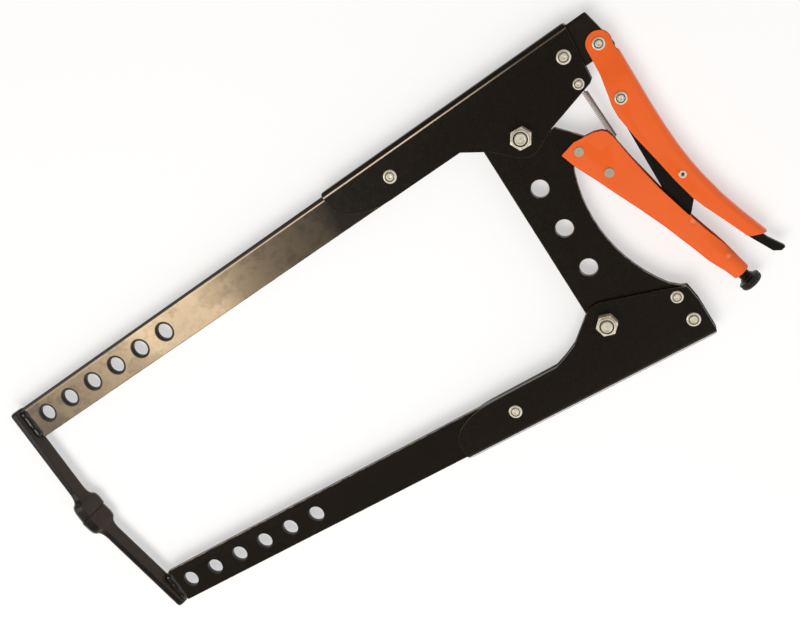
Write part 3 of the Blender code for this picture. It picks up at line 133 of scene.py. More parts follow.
class ClampStudio(bpy.types.PropertyGroup):
    """The camera, the lamps and the sky"""
    camera_place: bpy.props.FloatVectorProperty(
        name="Camera place", description="Where the camera stands", subtype="XYZ", size=3, unit="LENGTH",
        default=(0.1472, 0.2003, 0.7330))
    camera_turn: bpy.props.FloatVectorProperty(
        name="Camera turn", description="How the camera is turned", subtype="EULER", size=3,
        default=(-0.33218, 0.20838, -0.58861))
    camera_lens: bpy.props.FloatProperty(
        name="Lens", description="Focal length on a 36 mm wide sensor", default=50.677)
    key_power: bpy.props.FloatProperty(
        name="Key power", description="Power of the large soft box", default=40.5, unit="POWER")
    card_power: bpy.props.FloatProperty(
        name="Card power", description="Power of the card for the upper bar", default=3.4, unit="POWER")
    sky_low: bpy.props.FloatProperty(
        name="Low sky", description="Strength of the even light near the horizon", default=0.90)
    sky_high: bpy.props.FloatProperty(
        name="High sky", description="Strength of the even light overhead", default=0.16)
    floor_glow: bpy.props.FloatProperty(
        name="Floor glow", description="Share of plain white that the camera sees", default=0.50)


# Edges below these angles are shaded smooth
SHEET_SMOOTH = math.radians(38)
HANDLE_SMOOTH = math.radians(42)
RIVET_SMOOTH = math.radians(50)
ROUND_SMOOTH = math.radians(60)
KNOB_SMOOTH = math.radians(32)
# Edges above this angle are rounded
SHARP = math.radians(40)
# How near points are merged in a copied node and in a new piece, and how flat the faces are that become one
NODE_MERGE = 0.00003
DOUBLES = 0.000005
NODE_FLAT = math.radians(0.6)
UPWARD = Vector((0.0, 0.0, 1.0))


# Selection and mesh helpers
def deselect():
    """Leaves nothing selected, in object mode."""
    if bpy.context.object is not None and bpy.context.object.mode != "OBJECT":
        bpy.ops.object.mode_set(mode="OBJECT")
    bpy.ops.object.select_all(action="DESELECT")


def activate(piece):
    """Makes one piece the only selected one and the active one."""
    deselect()
    piece.select_set(True)
    bpy.context.view_layer.objects.active = piece
    return piece


def apply_modifiers(piece):
    """Applies every modifier of a piece in order."""
    activate(piece)
    for modifier in list(piece.modifiers):
        bpy.ops.object.modifier_apply(modifier=modifier.name)
    return piece


def apply_place(piece):
    """Moves a piece's place, turn and scale into its mesh."""
    activate(piece)
    bpy.ops.object.transform_apply(location=True, rotation=True, scale=True)
    return piece


def round_edges(piece, width, segments=2, sharp=SHARP, worn=False, fit=False):
    """Rounds the sharp edges of a piece; when asked, the rounded edges take the piece's second material, which
    holds edge wear with a painted highlight.
    """
    bevel = piece.modifiers.new("edge_round", "BEVEL")
    bevel.width = width
    bevel.segments = segments
    bevel.limit_method = "ANGLE"
    bevel.angle_limit = sharp
    bevel.use_clamp_overlap = fit
    bevel.miter_outer = "MITER_ARC"
    if worn:
        piece.data.materials.append(None)
        piece.data.materials.append(None)
        bevel.material = 1
    return apply_modifiers(piece)


def smooth(piece, angle=SHEET_SMOOTH):
    """Smooth shading across all edges below an angle, with normals that keep large faces flat."""
    activate(piece)
    bpy.ops.object.shade_smooth_by_angle(angle=angle)
    level = piece.modifiers.new("level_faces", "WEIGHTED_NORMAL")
    level.keep_sharp = True
    return apply_modifiers(piece)


def outward(piece):
    """Merges doubles and turns every face outward."""
    activate(piece)
    bpy.ops.object.mode_set(mode="EDIT")
    bpy.ops.mesh.select_all(action="SELECT")
    bpy.ops.mesh.remove_doubles(threshold=DOUBLES)
    bpy.ops.mesh.normals_make_consistent(inside=False)
    bpy.ops.object.mode_set(mode="OBJECT")
    return piece


def node_copy(node, name, merge=NODE_MERGE):
    """A copy of a CAD node's mesh with its loose triangles merged into flat faces."""
    piece = bpy.data.objects.new(name, NODES[node].data.copy())
    bpy.context.scene.collection.objects.link(piece)
    piece.data.materials.clear()
    activate(piece)
    bpy.ops.mesh.customdata_custom_splitnormals_clear()
    bpy.ops.object.mode_set(mode="EDIT")
    bpy.ops.mesh.select_all(action="SELECT")
    bpy.ops.mesh.remove_doubles(threshold=merge)
    bpy.ops.mesh.dissolve_limited(angle_limit=NODE_FLAT)
    bpy.ops.mesh.select_all(action="DESELECT")
    bpy.ops.object.mode_set(mode="OBJECT")
    return piece


def select_points(piece, chosen):
    """Selects the vertices of a piece that a test picks, and leaves edit mode on."""
    activate(piece)
    bpy.ops.object.mode_set(mode="EDIT")
    bpy.ops.mesh.select_mode(type="VERT")
    bpy.ops.mesh.select_all(action="DESELECT")
    bpy.ops.object.mode_set(mode="OBJECT")
    for vertex in piece.data.vertices:
        vertex.select = chosen(vertex.co)
    bpy.ops.object.mode_set(mode="EDIT")


def turned(name, profile, facets, flat=None):
    """A round piece about +Z, raised from a disc ring by ring; flat drops points of the disc."""
    deselect()
    first_radius, first_height = profile[0]
    bpy.ops.mesh.primitive_circle_add(
        vertices=facets, radius=first_radius, fill_type="NGON", location=(0.0, 0.0, first_height))
    piece = apply_place(bpy.context.object)
    piece.name = name
    piece.data.name = name
    if flat is not None:
        select_points(piece, flat)
        bpy.ops.mesh.dissolve_verts()
        bpy.ops.object.mode_set(mode="OBJECT")
    bpy.ops.object.mode_set(mode="EDIT")
    bpy.ops.mesh.select_all(action="SELECT")
    for (radius, height), (next_radius, next_height) in zip(profile, profile[1:]):
        bpy.ops.mesh.extrude_region_move(TRANSFORM_OT_translate={"value": (0.0, 0.0, next_height - height)})
        scale = next_radius / radius
        bpy.ops.transform.resize(value=(scale, scale, 1.0), center_override=(0.0, 0.0, next_height))
    bpy.ops.mesh.select_all(action="SELECT")
    bpy.ops.mesh.normals_make_consistent(inside=False)
    bpy.ops.object.mode_set(mode="OBJECT")
    return piece


def put(piece, place, axis=None, turn=0.0):
    """Moves a piece from the origin to its place, with its +Z along an axis and turned about it."""
    lean = Matrix.Identity(4)
    if axis is not None:
        side = UPWARD.cross(axis).normalized()
        lean = Matrix((side, axis.cross(side), axis)).transposed().to_4x4()
    piece.matrix_world = Matrix.Translation(place) @ lean @ Matrix.Rotation(turn, 4, "Z")
    return apply_place(piece)


def twin(piece, name):
    """A copy of a piece with its own mesh."""
    copy = bpy.data.objects.new(name, piece.data.copy())
    bpy.context.scene.collection.objects.link(copy)
    return copy


def middle(node):
    """The middle of a CAD node's box in plan, at the height of the bars' middle."""
    low, high = (Vector(corner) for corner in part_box(node))
    return Vector(((low.x + high.x) / 2, (low.y + high.y) / 2, MID_HEIGHT))


def cut(piece, tool, operation="DIFFERENCE"):
    """Combines a piece with a tool by a Boolean and removes the tool."""
    step = piece.modifiers.new("cut", "BOOLEAN")
    step.object = tool
    step.operation = operation
    step.solver = "EXACT"
    apply_modifiers(piece)
    bpy.data.objects.remove(tool)
    return piece


def block(name, low, high, place=(0.0, 0.0, 0.0), turn=0.0):
    """A box tool from its low corner to its high corner about a place, turned about the vertical."""
    deselect()
    bpy.ops.mesh.primitive_cube_add(size=1.0)
    tool = bpy.context.object
    tool.name = name
    size = [b - a for a, b in zip(low, high)]
    middle = [(a + b) / 2 for a, b in zip(low, high)]
    tool.matrix_world = (
        Matrix.Translation(place) @ Matrix.Rotation(turn, 4, "Z") @ Matrix.Translation(middle)
        @ Matrix.Diagonal((*size, 1.0)))
    return apply_place(tool)


def mount(piece, material, node, replace=True, edge=None):
    """Gives a piece its material and the body of the CAD node that it stands for, and hides that node when it
    replaces it.
    """
    if edge is None:
        piece.data.materials.clear()
        piece.data.materials.append(material)
    else:
        piece.data.materials[0] = material
        piece.data.materials[1] = edge
    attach(piece, BODY_OF[node])
    if replace:
        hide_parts(node)
    return piece


# Materials
class Shader:
    """A material under construction, with short calls for the nodes that this file uses."""

    def __init__(self, name, colour, metallic, roughness):
        self.material = bpy.data.materials.new(name)
        self.material.use_nodes = True
        self.material.diffuse_color = (*colour, 1.0)
        self.nodes = self.material.node_tree.nodes
        self.links = self.material.node_tree.links
        self.surface = self.nodes["Principled BSDF"]
        self.set("Base Color", (*colour, 1.0))
        self.set("Metallic", metallic)
        self.set("Roughness", roughness)
        self.place = self.nodes.new("ShaderNodeTexCoord").outputs["Object"]

    def set(self, socket, value):
        """Sets a socket of the surface."""
        self.surface.inputs[socket].default_value = value

    def node(self, kind, links, values):
        """A new node with outputs linked to some of its sockets and values set on others."""
        node = self.nodes.new(kind)
        for socket, output in links.items():
            self.links.new(output, node.inputs[socket])
        for socket, value in values.items():
            node.inputs[socket].default_value = value
        return node

    def noise(self, scale, detail=3.0, stretch=(1.0, 1.0, 1.0), turn=0.0, rough=0.55):
        """Noise over the piece, which may be stretched and turned."""
        mapping = self.node(
            "ShaderNodeMapping", {"Vector": self.place}, {"Scale": stretch, "Rotation": (0.0, 0.0, turn)})
        texture = self.node(
            "ShaderNodeTexNoise", {"Vector": mapping.outputs["Vector"]},
            {"Scale": scale, "Detail": detail, "Roughness": rough})
        return texture.outputs["Fac"]

    def span(self, factor, low, high, from_low=0.3, from_high=0.7):
        """A factor carried from one range over to another."""
        values = {"From Min": from_low, "From Max": from_high, "To Min": low, "To Max": high}
        return self.node("ShaderNodeMapRange", {"Value": factor}, values).outputs["Result"]

    def mix(self, factor):
        """A node that mixes two colours by a factor."""
        node = self.nodes.new("ShaderNodeMix")
        node.data_type = "RGBA"
        self.links.new(factor, node.inputs["Factor"])
        return node

    def blend_colour(self, factor, first, second):
        """A blend of two plain colours."""
        node = self.mix(factor)
        node.inputs["A"].default_value = (*first, 1.0)
        node.inputs["B"].default_value = (*second, 1.0)
        return node.outputs["Result"]

    def blend_outputs(self, factor, first, second):
        """A blend of what two nodes give."""
        node = self.mix(factor)
        self.links.new(first, node.inputs["A"])
        self.links.new(second, node.inputs["B"])
        return node.outputs["Result"]

    def along(self, axis):
        """The position along X, Y or Z, in metres."""
        return self.node("ShaderNodeSeparateXYZ", {"Vector": self.place}, {}).outputs[axis]

    def plan(self, origin, tilt):
        """The position along and across a direction in plan, from an origin."""
        mapping = self.node(
            "ShaderNodeMapping", {"Vector": self.place}, {"Location": origin, "Rotation": (0.0, 0.0, tilt)})
        mapping.vector_type = "TEXTURE"
        split = self.node("ShaderNodeSeparateXYZ", {"Vector": mapping.outputs["Vector"]}, {})
        return split.outputs["X"], split.outputs["Y"]

    def stripe(self, across, line, width):
        """1 within a width of a line and 0 beyond it."""
        away = self.math("ABSOLUTE", self.math("SUBTRACT", across, line))
        return self.span(away, 1.0, 0.0, width, width * 1.6)

    def ramp(self, factor, stops):
        """A value that follows (position, value) stops."""
        node = self.nodes.new("ShaderNodeValToRGB")
        elements = node.color_ramp.elements
        while len(elements) < len(stops):
            elements.new(0.5)
        for element, (position, value) in zip(elements, stops):
            element.position = position
            element.color = (value, value, value, 1.0)
        self.links.new(factor, node.inputs["Fac"])
        return node.outputs["Color"]

    def near(self, place, radius):
        """1 at a place and 0 from a radius around it outward."""
        node = self.node("ShaderNodeVectorMath", {0: self.place}, {1: place})
        node.operation = "DISTANCE"
        return self.span(node.outputs["Value"], 1.0, 0.0, radius * 0.25, radius)

    def math(self, operation, first, second=None):
        """The result of an operation on outputs or numbers."""
        node = self.nodes.new("ShaderNodeMath")
        node.operation = operation
        for socket, value in zip(node.inputs, (first, second)):
            if value is None:
                continue
            if isinstance(value, float):
                socket.default_value = value
            else:
                self.links.new(value, socket)
        return node.outputs["Value"]

    def wire(self, socket, output):
        """Links an output to a socket of the surface."""
        self.links.new(output, self.surface.inputs[socket])

    def bump(self, heights):
        """Adds bumps from (factor, strength, distance) rows, fine ones on top of coarse ones."""
        normal = None
        for factor, strength, distance in heights:
            links = {"Height": factor} if normal is None else {"Height": factor, "Normal": normal}
            node = self.node("ShaderNodeBump", links, {"Strength": strength, "Distance": distance})
            normal = node.outputs["Normal"]
        self.wire("Normal", normal)
        return self.material


def shade(colour, share):
    """A colour made lighter or darker by a share."""
    return tuple(min(1.0, part * share) for part in colour)


# Baked enamel: how much lighter dust is, the two tints of a dent's painted highlight, and how much of them shows
DUST_LIFT = 0.05
DENT_HIGHLIGHT_TINTS = ((0.86, 0.34, 0.22), (0.80, 0.26, 0.15))
DENT_HIGHLIGHT_SHARE = 0.45


def enamel(name, colour, roughness, spread, gloss, grain=1.0, highlighted_dents=(), fold_highlight=None):
    """Baked enamel: fine peel, slow waves, faint dust, a dent with a painted highlight at each given place and a
    painted highlight line along a fold.
    """
    shader = Shader(name, colour, 0.0, roughness)
    shader.set("Specular IOR Level", gloss)
    cloud = shader.noise(34.0, 4.0)
    peel = shader.noise(950.0, 2.0)
    wave = shader.noise(60.0, 2.0)
    dust = shader.span(shader.noise(430.0, 5.0, (1.0, 1.0, 1.0), 0.0, 0.75), 0.0, 0.55, 0.70, 0.80)
    skin = shader.blend_colour(cloud, shade(colour, 1.0 - spread), shade(colour, 1.0 + spread))
    dusty = tuple(0.9 * part + DUST_LIFT for part in colour)
    mark = shader.blend_colour(cloud, dusty, dusty)
    base = shader.blend_outputs(dust, skin, mark)
    heights = [(wave, 0.10 * grain, 0.0003), (peel, 0.12 * grain, 0.00005)]
    for place, radius in highlighted_dents:
        # Each dent is pressed in by a bump and lightened by a painted highlight
        dent_and_highlight = shader.near(place, radius)
        base = shader.blend_outputs(
            shader.math("MULTIPLY", dent_and_highlight, DENT_HIGHLIGHT_SHARE), base, shader.blend_colour(cloud, *DENT_HIGHLIGHT_TINTS))
        heights.append((shader.math("SUBTRACT", 1.0, dent_and_highlight), 0.8, 0.0008))
    if fold_highlight is not None:
        # A painted highlight line along the fold, where the rounded fold would catch the light
        origin, tilt, line, width, tint, fades = fold_highlight
        along, across = shader.plan(origin, tilt)
        painted_fold_highlight = shader.math("MULTIPLY", shader.stripe(across, line, width), shader.span(along, *fades))
        base = shader.blend_outputs(painted_fold_highlight, base, shader.blend_colour(cloud, shade(tint, 0.88), tint))
    shader.wire("Base Color", base)
    shader.wire("Roughness", shader.span(shader.noise(260.0, 5.0), roughness * 0.88, roughness * 1.15))
    return shader.bump(heights)


# Where the covers' folds get a painted highlight line: origin, tilt, place across, half width, colour and strength
# along them
FOLD_HIGHLIGHTS = {
    "upper_cover": (PIVOT, UPPER_TILT, 0.0406, 0.00035, (0.72, 0.56, 0.42), (1.0, 0.12, -0.060, 0.030)),
    "lower_cover": (Vector(), 0.0, -0.0403, 0.00040, (0.56, 0.53, 0.51), (1.0, 0.85, -0.130, 0.060)),
}
# How strong the upper bar's bronze sheen, a painted reflection on thin enamel, is along X, and its row of holes,
# along and across the bar
PAINTED_SHEEN_SPAN = (-0.440, -0.120)
PAINTED_SHEEN_STOPS = (
    (0.00, 0.20), (0.10, 0.29), (0.16, 0.38), (0.23, 0.38), (0.30, 0.48), (0.38, 0.60), (0.45, 0.92),
    (0.55, 0.87), (0.65, 1.00), (0.72, 0.54), (0.80, 0.32), (0.88, 0.21), (0.96, 0.125), (1.00, 0.01),
)
FIRST_HOLE = (-0.4208, 0.0280)
HOLE_PITCH = 0.0250
HOLE_COUNT = 6
BAR_ORIGIN = PIVOT + Matrix.Rotation(UPPER_TILT, 3, "Z") @ Vector((*FIRST_HOLE, 0.0))
# Distances between which the black rims of the holes end and the black of the bar's upper side begins
HOLE_RING = (0.0074, 0.0079)
DARK_EDGE = (0.0117, 0.0121)
# A painted highlight line beside that side: its place and half width, how it starts and ends, and its tints
HIGHLIGHT_LINE = (0.0110, 0.0003)
HIGHLIGHT_LINE_START = (0.15, 0.9, 0.15, 0.26)
HIGHLIGHT_LINE_END = (1.0, 0.0, 0.31, 0.32)
HIGHLIGHT_LINE_TINTS = ((0.62, 0.48, 0.35), (0.75, 0.59, 0.44))


def hole_rings(shader, along, across):
    """1 on the black rims of the upper bar's holes and 0 elsewhere."""
    nearest = shader.math("ROUND", shader.math("DIVIDE", along, HOLE_PITCH))
    nearest = shader.math("MAXIMUM", shader.math("MINIMUM", nearest, HOLE_COUNT - 1.0), 0.0)
    offset = shader.math("SUBTRACT", along, shader.math("MULTIPLY", nearest, HOLE_PITCH))
    squares = [shader.math("MULTIPLY", side, side) for side in (offset, across)]
    return shader.span(shader.math("SQRT", shader.math("ADD", *squares)), 1.0, 0.0, *HOLE_RING)


def bronze_enamel(name, colour, bronze):
    """Thin enamel over rolled bar with a painted reflection: a clouded bronze sheen toward the jaws, black at
    holes and covers.
    """
    shader = Shader(name, colour, 0.0, 0.30)
    shader.set("Specular IOR Level", 0.28)
    cloud = shader.noise(30.0, 6.0, (0.8, 1.0, 1.0), -UPPER_TILT, 0.62)
    mottle = shader.noise(120.0, 5.0, (0.8, 1.0, 1.0), -UPPER_TILT, 0.66)
    streak = shader.noise(240.0, 4.0, (0.16, 1.0, 1.0), -UPPER_TILT, 0.55)
    along, across = shader.plan(BAR_ORIGIN, UPPER_TILT)
    # The sheen's strength along X: a painted reflection on partly thin enamel, cleared at the holes' rims and at
    # the upper side
    worn = shader.ramp(shader.span(shader.along("X"), 0.0, 1.0, *PAINTED_SHEEN_SPAN), PAINTED_SHEEN_STOPS)
    clear = shader.math("SUBTRACT", 1.0, hole_rings(shader, along, across))
    clear = shader.math("MULTIPLY", clear, shader.span(across, 1.0, 0.0, *DARK_EDGE))
    worn = shader.math("MULTIPLY", worn, clear)
    patches = shader.math(
        "MULTIPLY", shader.span(cloud, 0.78, 1.0, 0.44, 0.52), shader.span(mottle, 0.84, 1.0, 0.42, 0.52))
    sheen = shader.math("MULTIPLY", worn, patches)
    pale = (bronze[0] * 1.12, bronze[1] * 1.12, bronze[2] * 1.16)
    warm = shader.blend_colour(mottle, shade(bronze, 0.90), pale)
    black = shader.blend_colour(cloud, shade(colour, 0.8), shade(colour, 1.6))
    # A painted highlight line along the bar beside its upper side
    line = shader.math("MULTIPLY", shader.stripe(across, *HIGHLIGHT_LINE), shader.span(along, *HIGHLIGHT_LINE_START))
    line = shader.math("MULTIPLY", line, shader.span(along, *HIGHLIGHT_LINE_END))
    base = shader.blend_outputs(sheen, black, warm)
    shader.wire("Base Color", shader.blend_outputs(line, base, shader.blend_colour(mottle, *HIGHLIGHT_LINE_TINTS)))
    shader.wire("Metallic", shader.span(sheen, 0.0, 0.95, 0.0, 0.45))
    shader.wire("Roughness", shader.span(mottle, 0.27, 0.38, 0.3, 0.7))
    peel = shader.noise(900.0, 2.0)
    return shader.bump([(streak, 0.05, 0.00005), (peel, 0.08, 0.00004)])


def worn_edge(name, colour, bronze, dark_side=False):
    """The thin line along an edge where enamel has rubbed off, in a bronze that is also a painted highlight; a
    dark side keeps its black.
    """
    shader = Shader(name, bronze, 0.9, 0.36)
    shader.set("Specular IOR Level", 0.2 if dark_side else 0.4)
    rub_and_highlight = shader.span(shader.noise(160.0, 5.0, (1.0, 1.0, 1.0), 0.0, 0.65), 0.0, 1.0, 0.42, 0.58)
    if dark_side:
        across = shader.plan(BAR_ORIGIN, UPPER_TILT)[1]
        rub_and_highlight = shader.math("MULTIPLY", rub_and_highlight, shader.span(across, 1.0, 0.0, 0.0, 0.004))
    shader.wire("Base Color", shader.blend_colour(rub_and_highlight, shade(colour, 2.0), shade(bronze, 0.62)))
    shader.wire("Metallic", shader.span(rub_and_highlight, 0.15, 0.95, 0.0, 1.0))
    shader.wire("Roughness", shader.span(rub_and_highlight, 0.44, 0.28, 0.0, 1.0))
    return shader.bump([(shader.noise(500.0, 3.0), 0.12, 0.0001)])


# Share of bare metal in the cloudy plating
PLATING_METAL = 0.45


def plating(name, colour, roughness, grain):
    """Bright zinc: fine cloudy grain, small handling marks and slight yellow patches."""
    shader = Shader(name, colour, PLATING_METAL, roughness)
    cloud = shader.noise(300.0, 5.0)
    fine = shader.noise(2600.0, 3.0)
    warm = (colour[0], colour[1] * 0.95, colour[2] * 0.84)
    shader.wire("Base Color", shader.blend_colour(shader.span(cloud, 0.0, 1.0), shade(colour, 0.88), warm))
    shader.wire("Roughness", shader.span(shader.noise(900.0, 4.0), roughness * 0.75, roughness * 1.35))
    return shader.bump([(cloud, 0.03, 0.0002), (fine, grain, 0.00004)])


def dark_steel(name, colour, roughness, gloss, scale, depth):
    """Oxide black or forged scale: pits and clouds in a dark skin."""
    shader = Shader(name, colour, 0.0, roughness)
    shader.set("Specular IOR Level", gloss)
    pit = shader.noise(scale, 6.0, (1.0, 1.0, 1.0), 0.0, 0.6)
    fine = shader.noise(scale * 6.0, 3.0)
    shader.wire("Base Color", shader.blend_colour(pit, shade(colour, 0.75), shade(colour, 1.3)))
    shader.wire("Roughness", shader.span(pit, roughness * 0.85, roughness * 1.2))
    return shader.bump([(pit, 0.22, depth), (fine, 0.12, depth / 5)])


def drawn_wire(name, colour):
    """Bare drawn wire with a fine streaked grain."""
    shader = Shader(name, colour, 0.6, 0.34)
    grain = shader.noise(1800.0, 3.0, (1.0, 0.12, 1.0))
    shader.wire("Base Color", shader.blend_colour(grain, shade(colour, 0.55), shade(colour, 1.25)))
    shader.wire("Roughness", shader.span(grain, 0.26, 0.46))
    return shader.bump([(grain, 0.12, 0.00005)])


# Places of the crimp marks on the fixed handle's tube, each a dent with a painted highlight, along the screw's
# axis and across it, and their radius
CRIMPS = ((0.0462, 0.0031), (0.0139, 0.0023))
CRIMP_RADIUS = 0.0024
TUBE_TOP = 0.0055
MADE = {}


def crimp_places():
    """The crimp marks on the tube's upper side, in the frame of the CAD."""
    across = Vector((SCREW_AXIS.y, -SCREW_AXIS.x, 0.0))
    lift = Vector((0.0, 0.0, TUBE_TOP))
    return [(TUBE_END + SCREW_AXIS * up + across * out + lift, CRIMP_RADIUS) for up, out in CRIMPS]


def finish(name):
    """A finish from the table, made when it is first asked for."""
    if name in MADE:
        return MADE[name]
    colours = bpy.context.scene.clamp_colours
    black, bronze, forged = tuple(colours.black), tuple(colours.bronze), tuple(colours.forged)
    zinc, oxide = tuple(colours.zinc), tuple(colours.oxide)
    table = {
        "upper_cover_enamel": (enamel, black, 0.25, 0.2, 0.40, 1.0, (), FOLD_HIGHLIGHTS["upper_cover"]),
        "lower_cover_enamel": (enamel, black, 0.25, 0.2, 0.40, 1.0, (), FOLD_HIGHLIGHTS["lower_cover"]),
        "plate_enamel": (enamel, shade(black, 0.95), 0.27, 0.2, 0.40),
        "lower_bar_enamel": (enamel, shade(black, 0.86), 0.23, 0.25, 0.42),
        "upper_bar_enamel": (bronze_enamel, black, bronze),
        # Edge finishes: rubbed enamel whose bronze line is also a painted highlight
        "worn_edge": (worn_edge, black, bronze),
        "cover_edge": (worn_edge, black, shade(bronze, 0.40)),
        "upper_bar_edge": (worn_edge, black, bronze, True),
        "handle_enamel": (enamel, tuple(colours.orange), 0.42, 0.025, 0.36, 0.6, crimp_places()),
        "bright_zinc": (plating, zinc, 0.24, 0.03),
        "rivet_zinc": (plating, shade(zinc, 0.92), 0.24, 0.03),
        "groove_dirt": (plating, shade(zinc, 0.20), 0.40, 0.05),
        "worn_zinc": (plating, shade(zinc, 0.85), 0.30, 0.06),
        "dull_grey": (plating, tuple(colours.grey), 0.50, 0.10),
        "forged_black": (dark_steel, forged, 0.34, 0.28, 150.0, 0.0002),
        "forged_shade": (dark_steel, shade(forged, 0.25), 0.30, 0.28, 150.0, 0.0002),
        "weld_black": (dark_steel, shade(oxide, 1.2), 0.16, 0.60, 120.0, 0.00008),
        "black_oxide": (dark_steel, oxide, 0.36, 0.42, 500.0, 0.00008),
        "link_black": (dark_steel, oxide, 0.38, 0.27, 500.0, 0.00008),
        "ring_black": (dark_steel, shade(oxide, 0.8), 0.55, 0.40, 900.0, 0.00005),
        "spring_steel": (drawn_wire, tuple(colours.spring)),
    }
    maker, *values = table[name]
    MADE[name] = maker(name, *values)
    return MADE[name]


# Bars, plate and covers

# The holes lie in front of this place, this far behind the bar's front and this near its middle line
HOLE_ZONE_END = -0.20
HOLE_MARGIN = 0.0060
HOLE_REACH = 0.0080
# A hole's rim has only edges shorter than this
RIM_EDGE = 0.0025


class CLAMP_OT_bars(bpy.types.Operator):
    """Rounds and paints the two flat bars"""
    bl_idname = "clamp.bars"
    bl_label = "Bars"

    def execute(self, context):
        sizes = context.scene.clamp_sizes
        rows = (("upper_arm", "upper_bar_enamel", "upper_bar_edge", PIVOT, UPPER_TILT),
                ("lower_arm", "lower_bar_enamel", "worn_edge", Vector(), 0.0))
        for node, coat, rim, origin, tilt in rows:
            bar = node_copy(node, node + "_bar")
            self.round_holes(bar, origin, tilt, sizes.hole_edge)
            round_edges(bar, sizes.bar_edge, 3, worn=True)
            mount(smooth(bar), finish(coat), node, edge=finish(rim))
        return {"FINISHED"}

    def round_holes(self, bar, origin, tilt, width):
        """Rounds the rims of the holes, which lie well inside the bar's outline, more than the outline."""
        across = Vector((-math.sin(tilt), math.cos(tilt), 0.0))
        sides = sorted((vertex.co - origin).dot(across) for vertex in bar.data.vertices
                       if vertex.co.x < HOLE_ZONE_END)
        centre = (sides[0] + sides[-1]) / 2
        front = min(vertex.co.x for vertex in bar.data.vertices) + HOLE_MARGIN
        select_points(bar, lambda point: False)
        bpy.ops.mesh.select_mode(type="EDGE")
        bpy.ops.object.mode_set(mode="OBJECT")
        for edge in bar.data.edges:
            ends = [bar.data.vertices[index].co for index in edge.vertices]
            edge.select = (ends[0] - ends[1]).length < RIM_EDGE and all(
                front < end.x < HOLE_ZONE_END and abs((end - origin).dot(across) - centre) < HOLE_REACH
                for end in ends)
        bpy.ops.object.mode_set(mode="EDIT")
        bpy.ops.mesh.bevel(offset=width, segments=3, affect="EDGES", profile=0.5)
        bpy.ops.object.mode_set(mode="OBJECT")


class CLAMP_OT_plate(bpy.types.Operator):
    """Rounds and paints the body plate"""
    bl_idname = "clamp.plate"
    bl_label = "Body plate"

    def execute(self, context):
        plate = node_copy("body_plate", "clamp_body_plate")
        round_edges(plate, context.scene.clamp_sizes.bar_edge, 3, worn=True)
        mount(smooth(plate), finish("plate_enamel"), "body_plate", edge=finish("worn_edge"))
        return {"FINISHED"}


class CLAMP_OT_covers(bpy.types.Operator):
    """Rounds and paints the two folded covers"""
    bl_idname = "clamp.covers"
    bl_label = "Covers"

    def execute(self, context):
        for node in ("upper_cover", "lower_cover"):
            cover = node_copy(node, node + "_sheet")
            round_edges(cover, context.scene.clamp_sizes.sheet_edge, 2, worn=True)
            mount(smooth(cover), finish(node + "_enamel"), node, edge=finish("cover_edge"))
        return {"FINISHED"}


# Jaws, raised ring by ring from the pad face: each one's side, shift along X, lean and length
JAW_SHAPES = (
    ("upper_jaw", 1, 0.0009, UPPER_TILT - math.radians(1.6), 0.1030),
    ("lower_jaw", -1, 0.0, JAW_LEAN, 0.1040),
)
PAD_RADIUS = MID_HEIGHT
PAD_TRIM = 0.0030
SHANK_RADIUS = 0.0059
PAD_PROFILE = (
    (1.000, 0.0000), (1.000, 0.0108), (0.985, 0.0120), (0.950, 0.0142), (0.880, 0.0157), (0.800, 0.0165),
    (0.720, 0.0172), (0.650, 0.0182), (0.600, 0.0195), (0.562, 0.0212), (0.540, 0.0230), (0.527, 0.0250),
)
SHANK_RINGS = (0.030, 0.050, 0.070, 0.090)
# The shank's end: shares of its radius, and distances from the end
SHANK_END = ((1.00, 0.0022), (0.90, 0.0007), (0.60, 0.0))
JAW_FACETS = 48
JAW_EDGE = 0.0005
JAW_SHARP = math.radians(17)
CONTACT_GAP = 0.00004
# The bar in each jaw: the origin and the turn of its frame, and its middle line there
JAW_BARS = {
    "upper_jaw": (PIVOT, UPPER_TILT, 0.0280),
    "lower_jaw": (LOWER_ORIGIN, 0.0, -0.0254),
}
# Where each jaw's slot for its bar starts, and the slot's length, half width and half height
SLOT_STARTS = {"upper_jaw": -0.4373, "lower_jaw": -0.4025}
SLOT = (0.03, 0.0143, 0.0023)
# Angles from straight up between which the jaws' forged flats lie, and how far inside points are dropped
FLATS = ((-18.0, 14.0), (16.0, 100.0))
FLAT_MARGIN = 1.0
# The jaws' back gets a darker copy of the forged finish, a painted shade, up to this angle from straight up
PAINTED_SHADE_END = 30.0


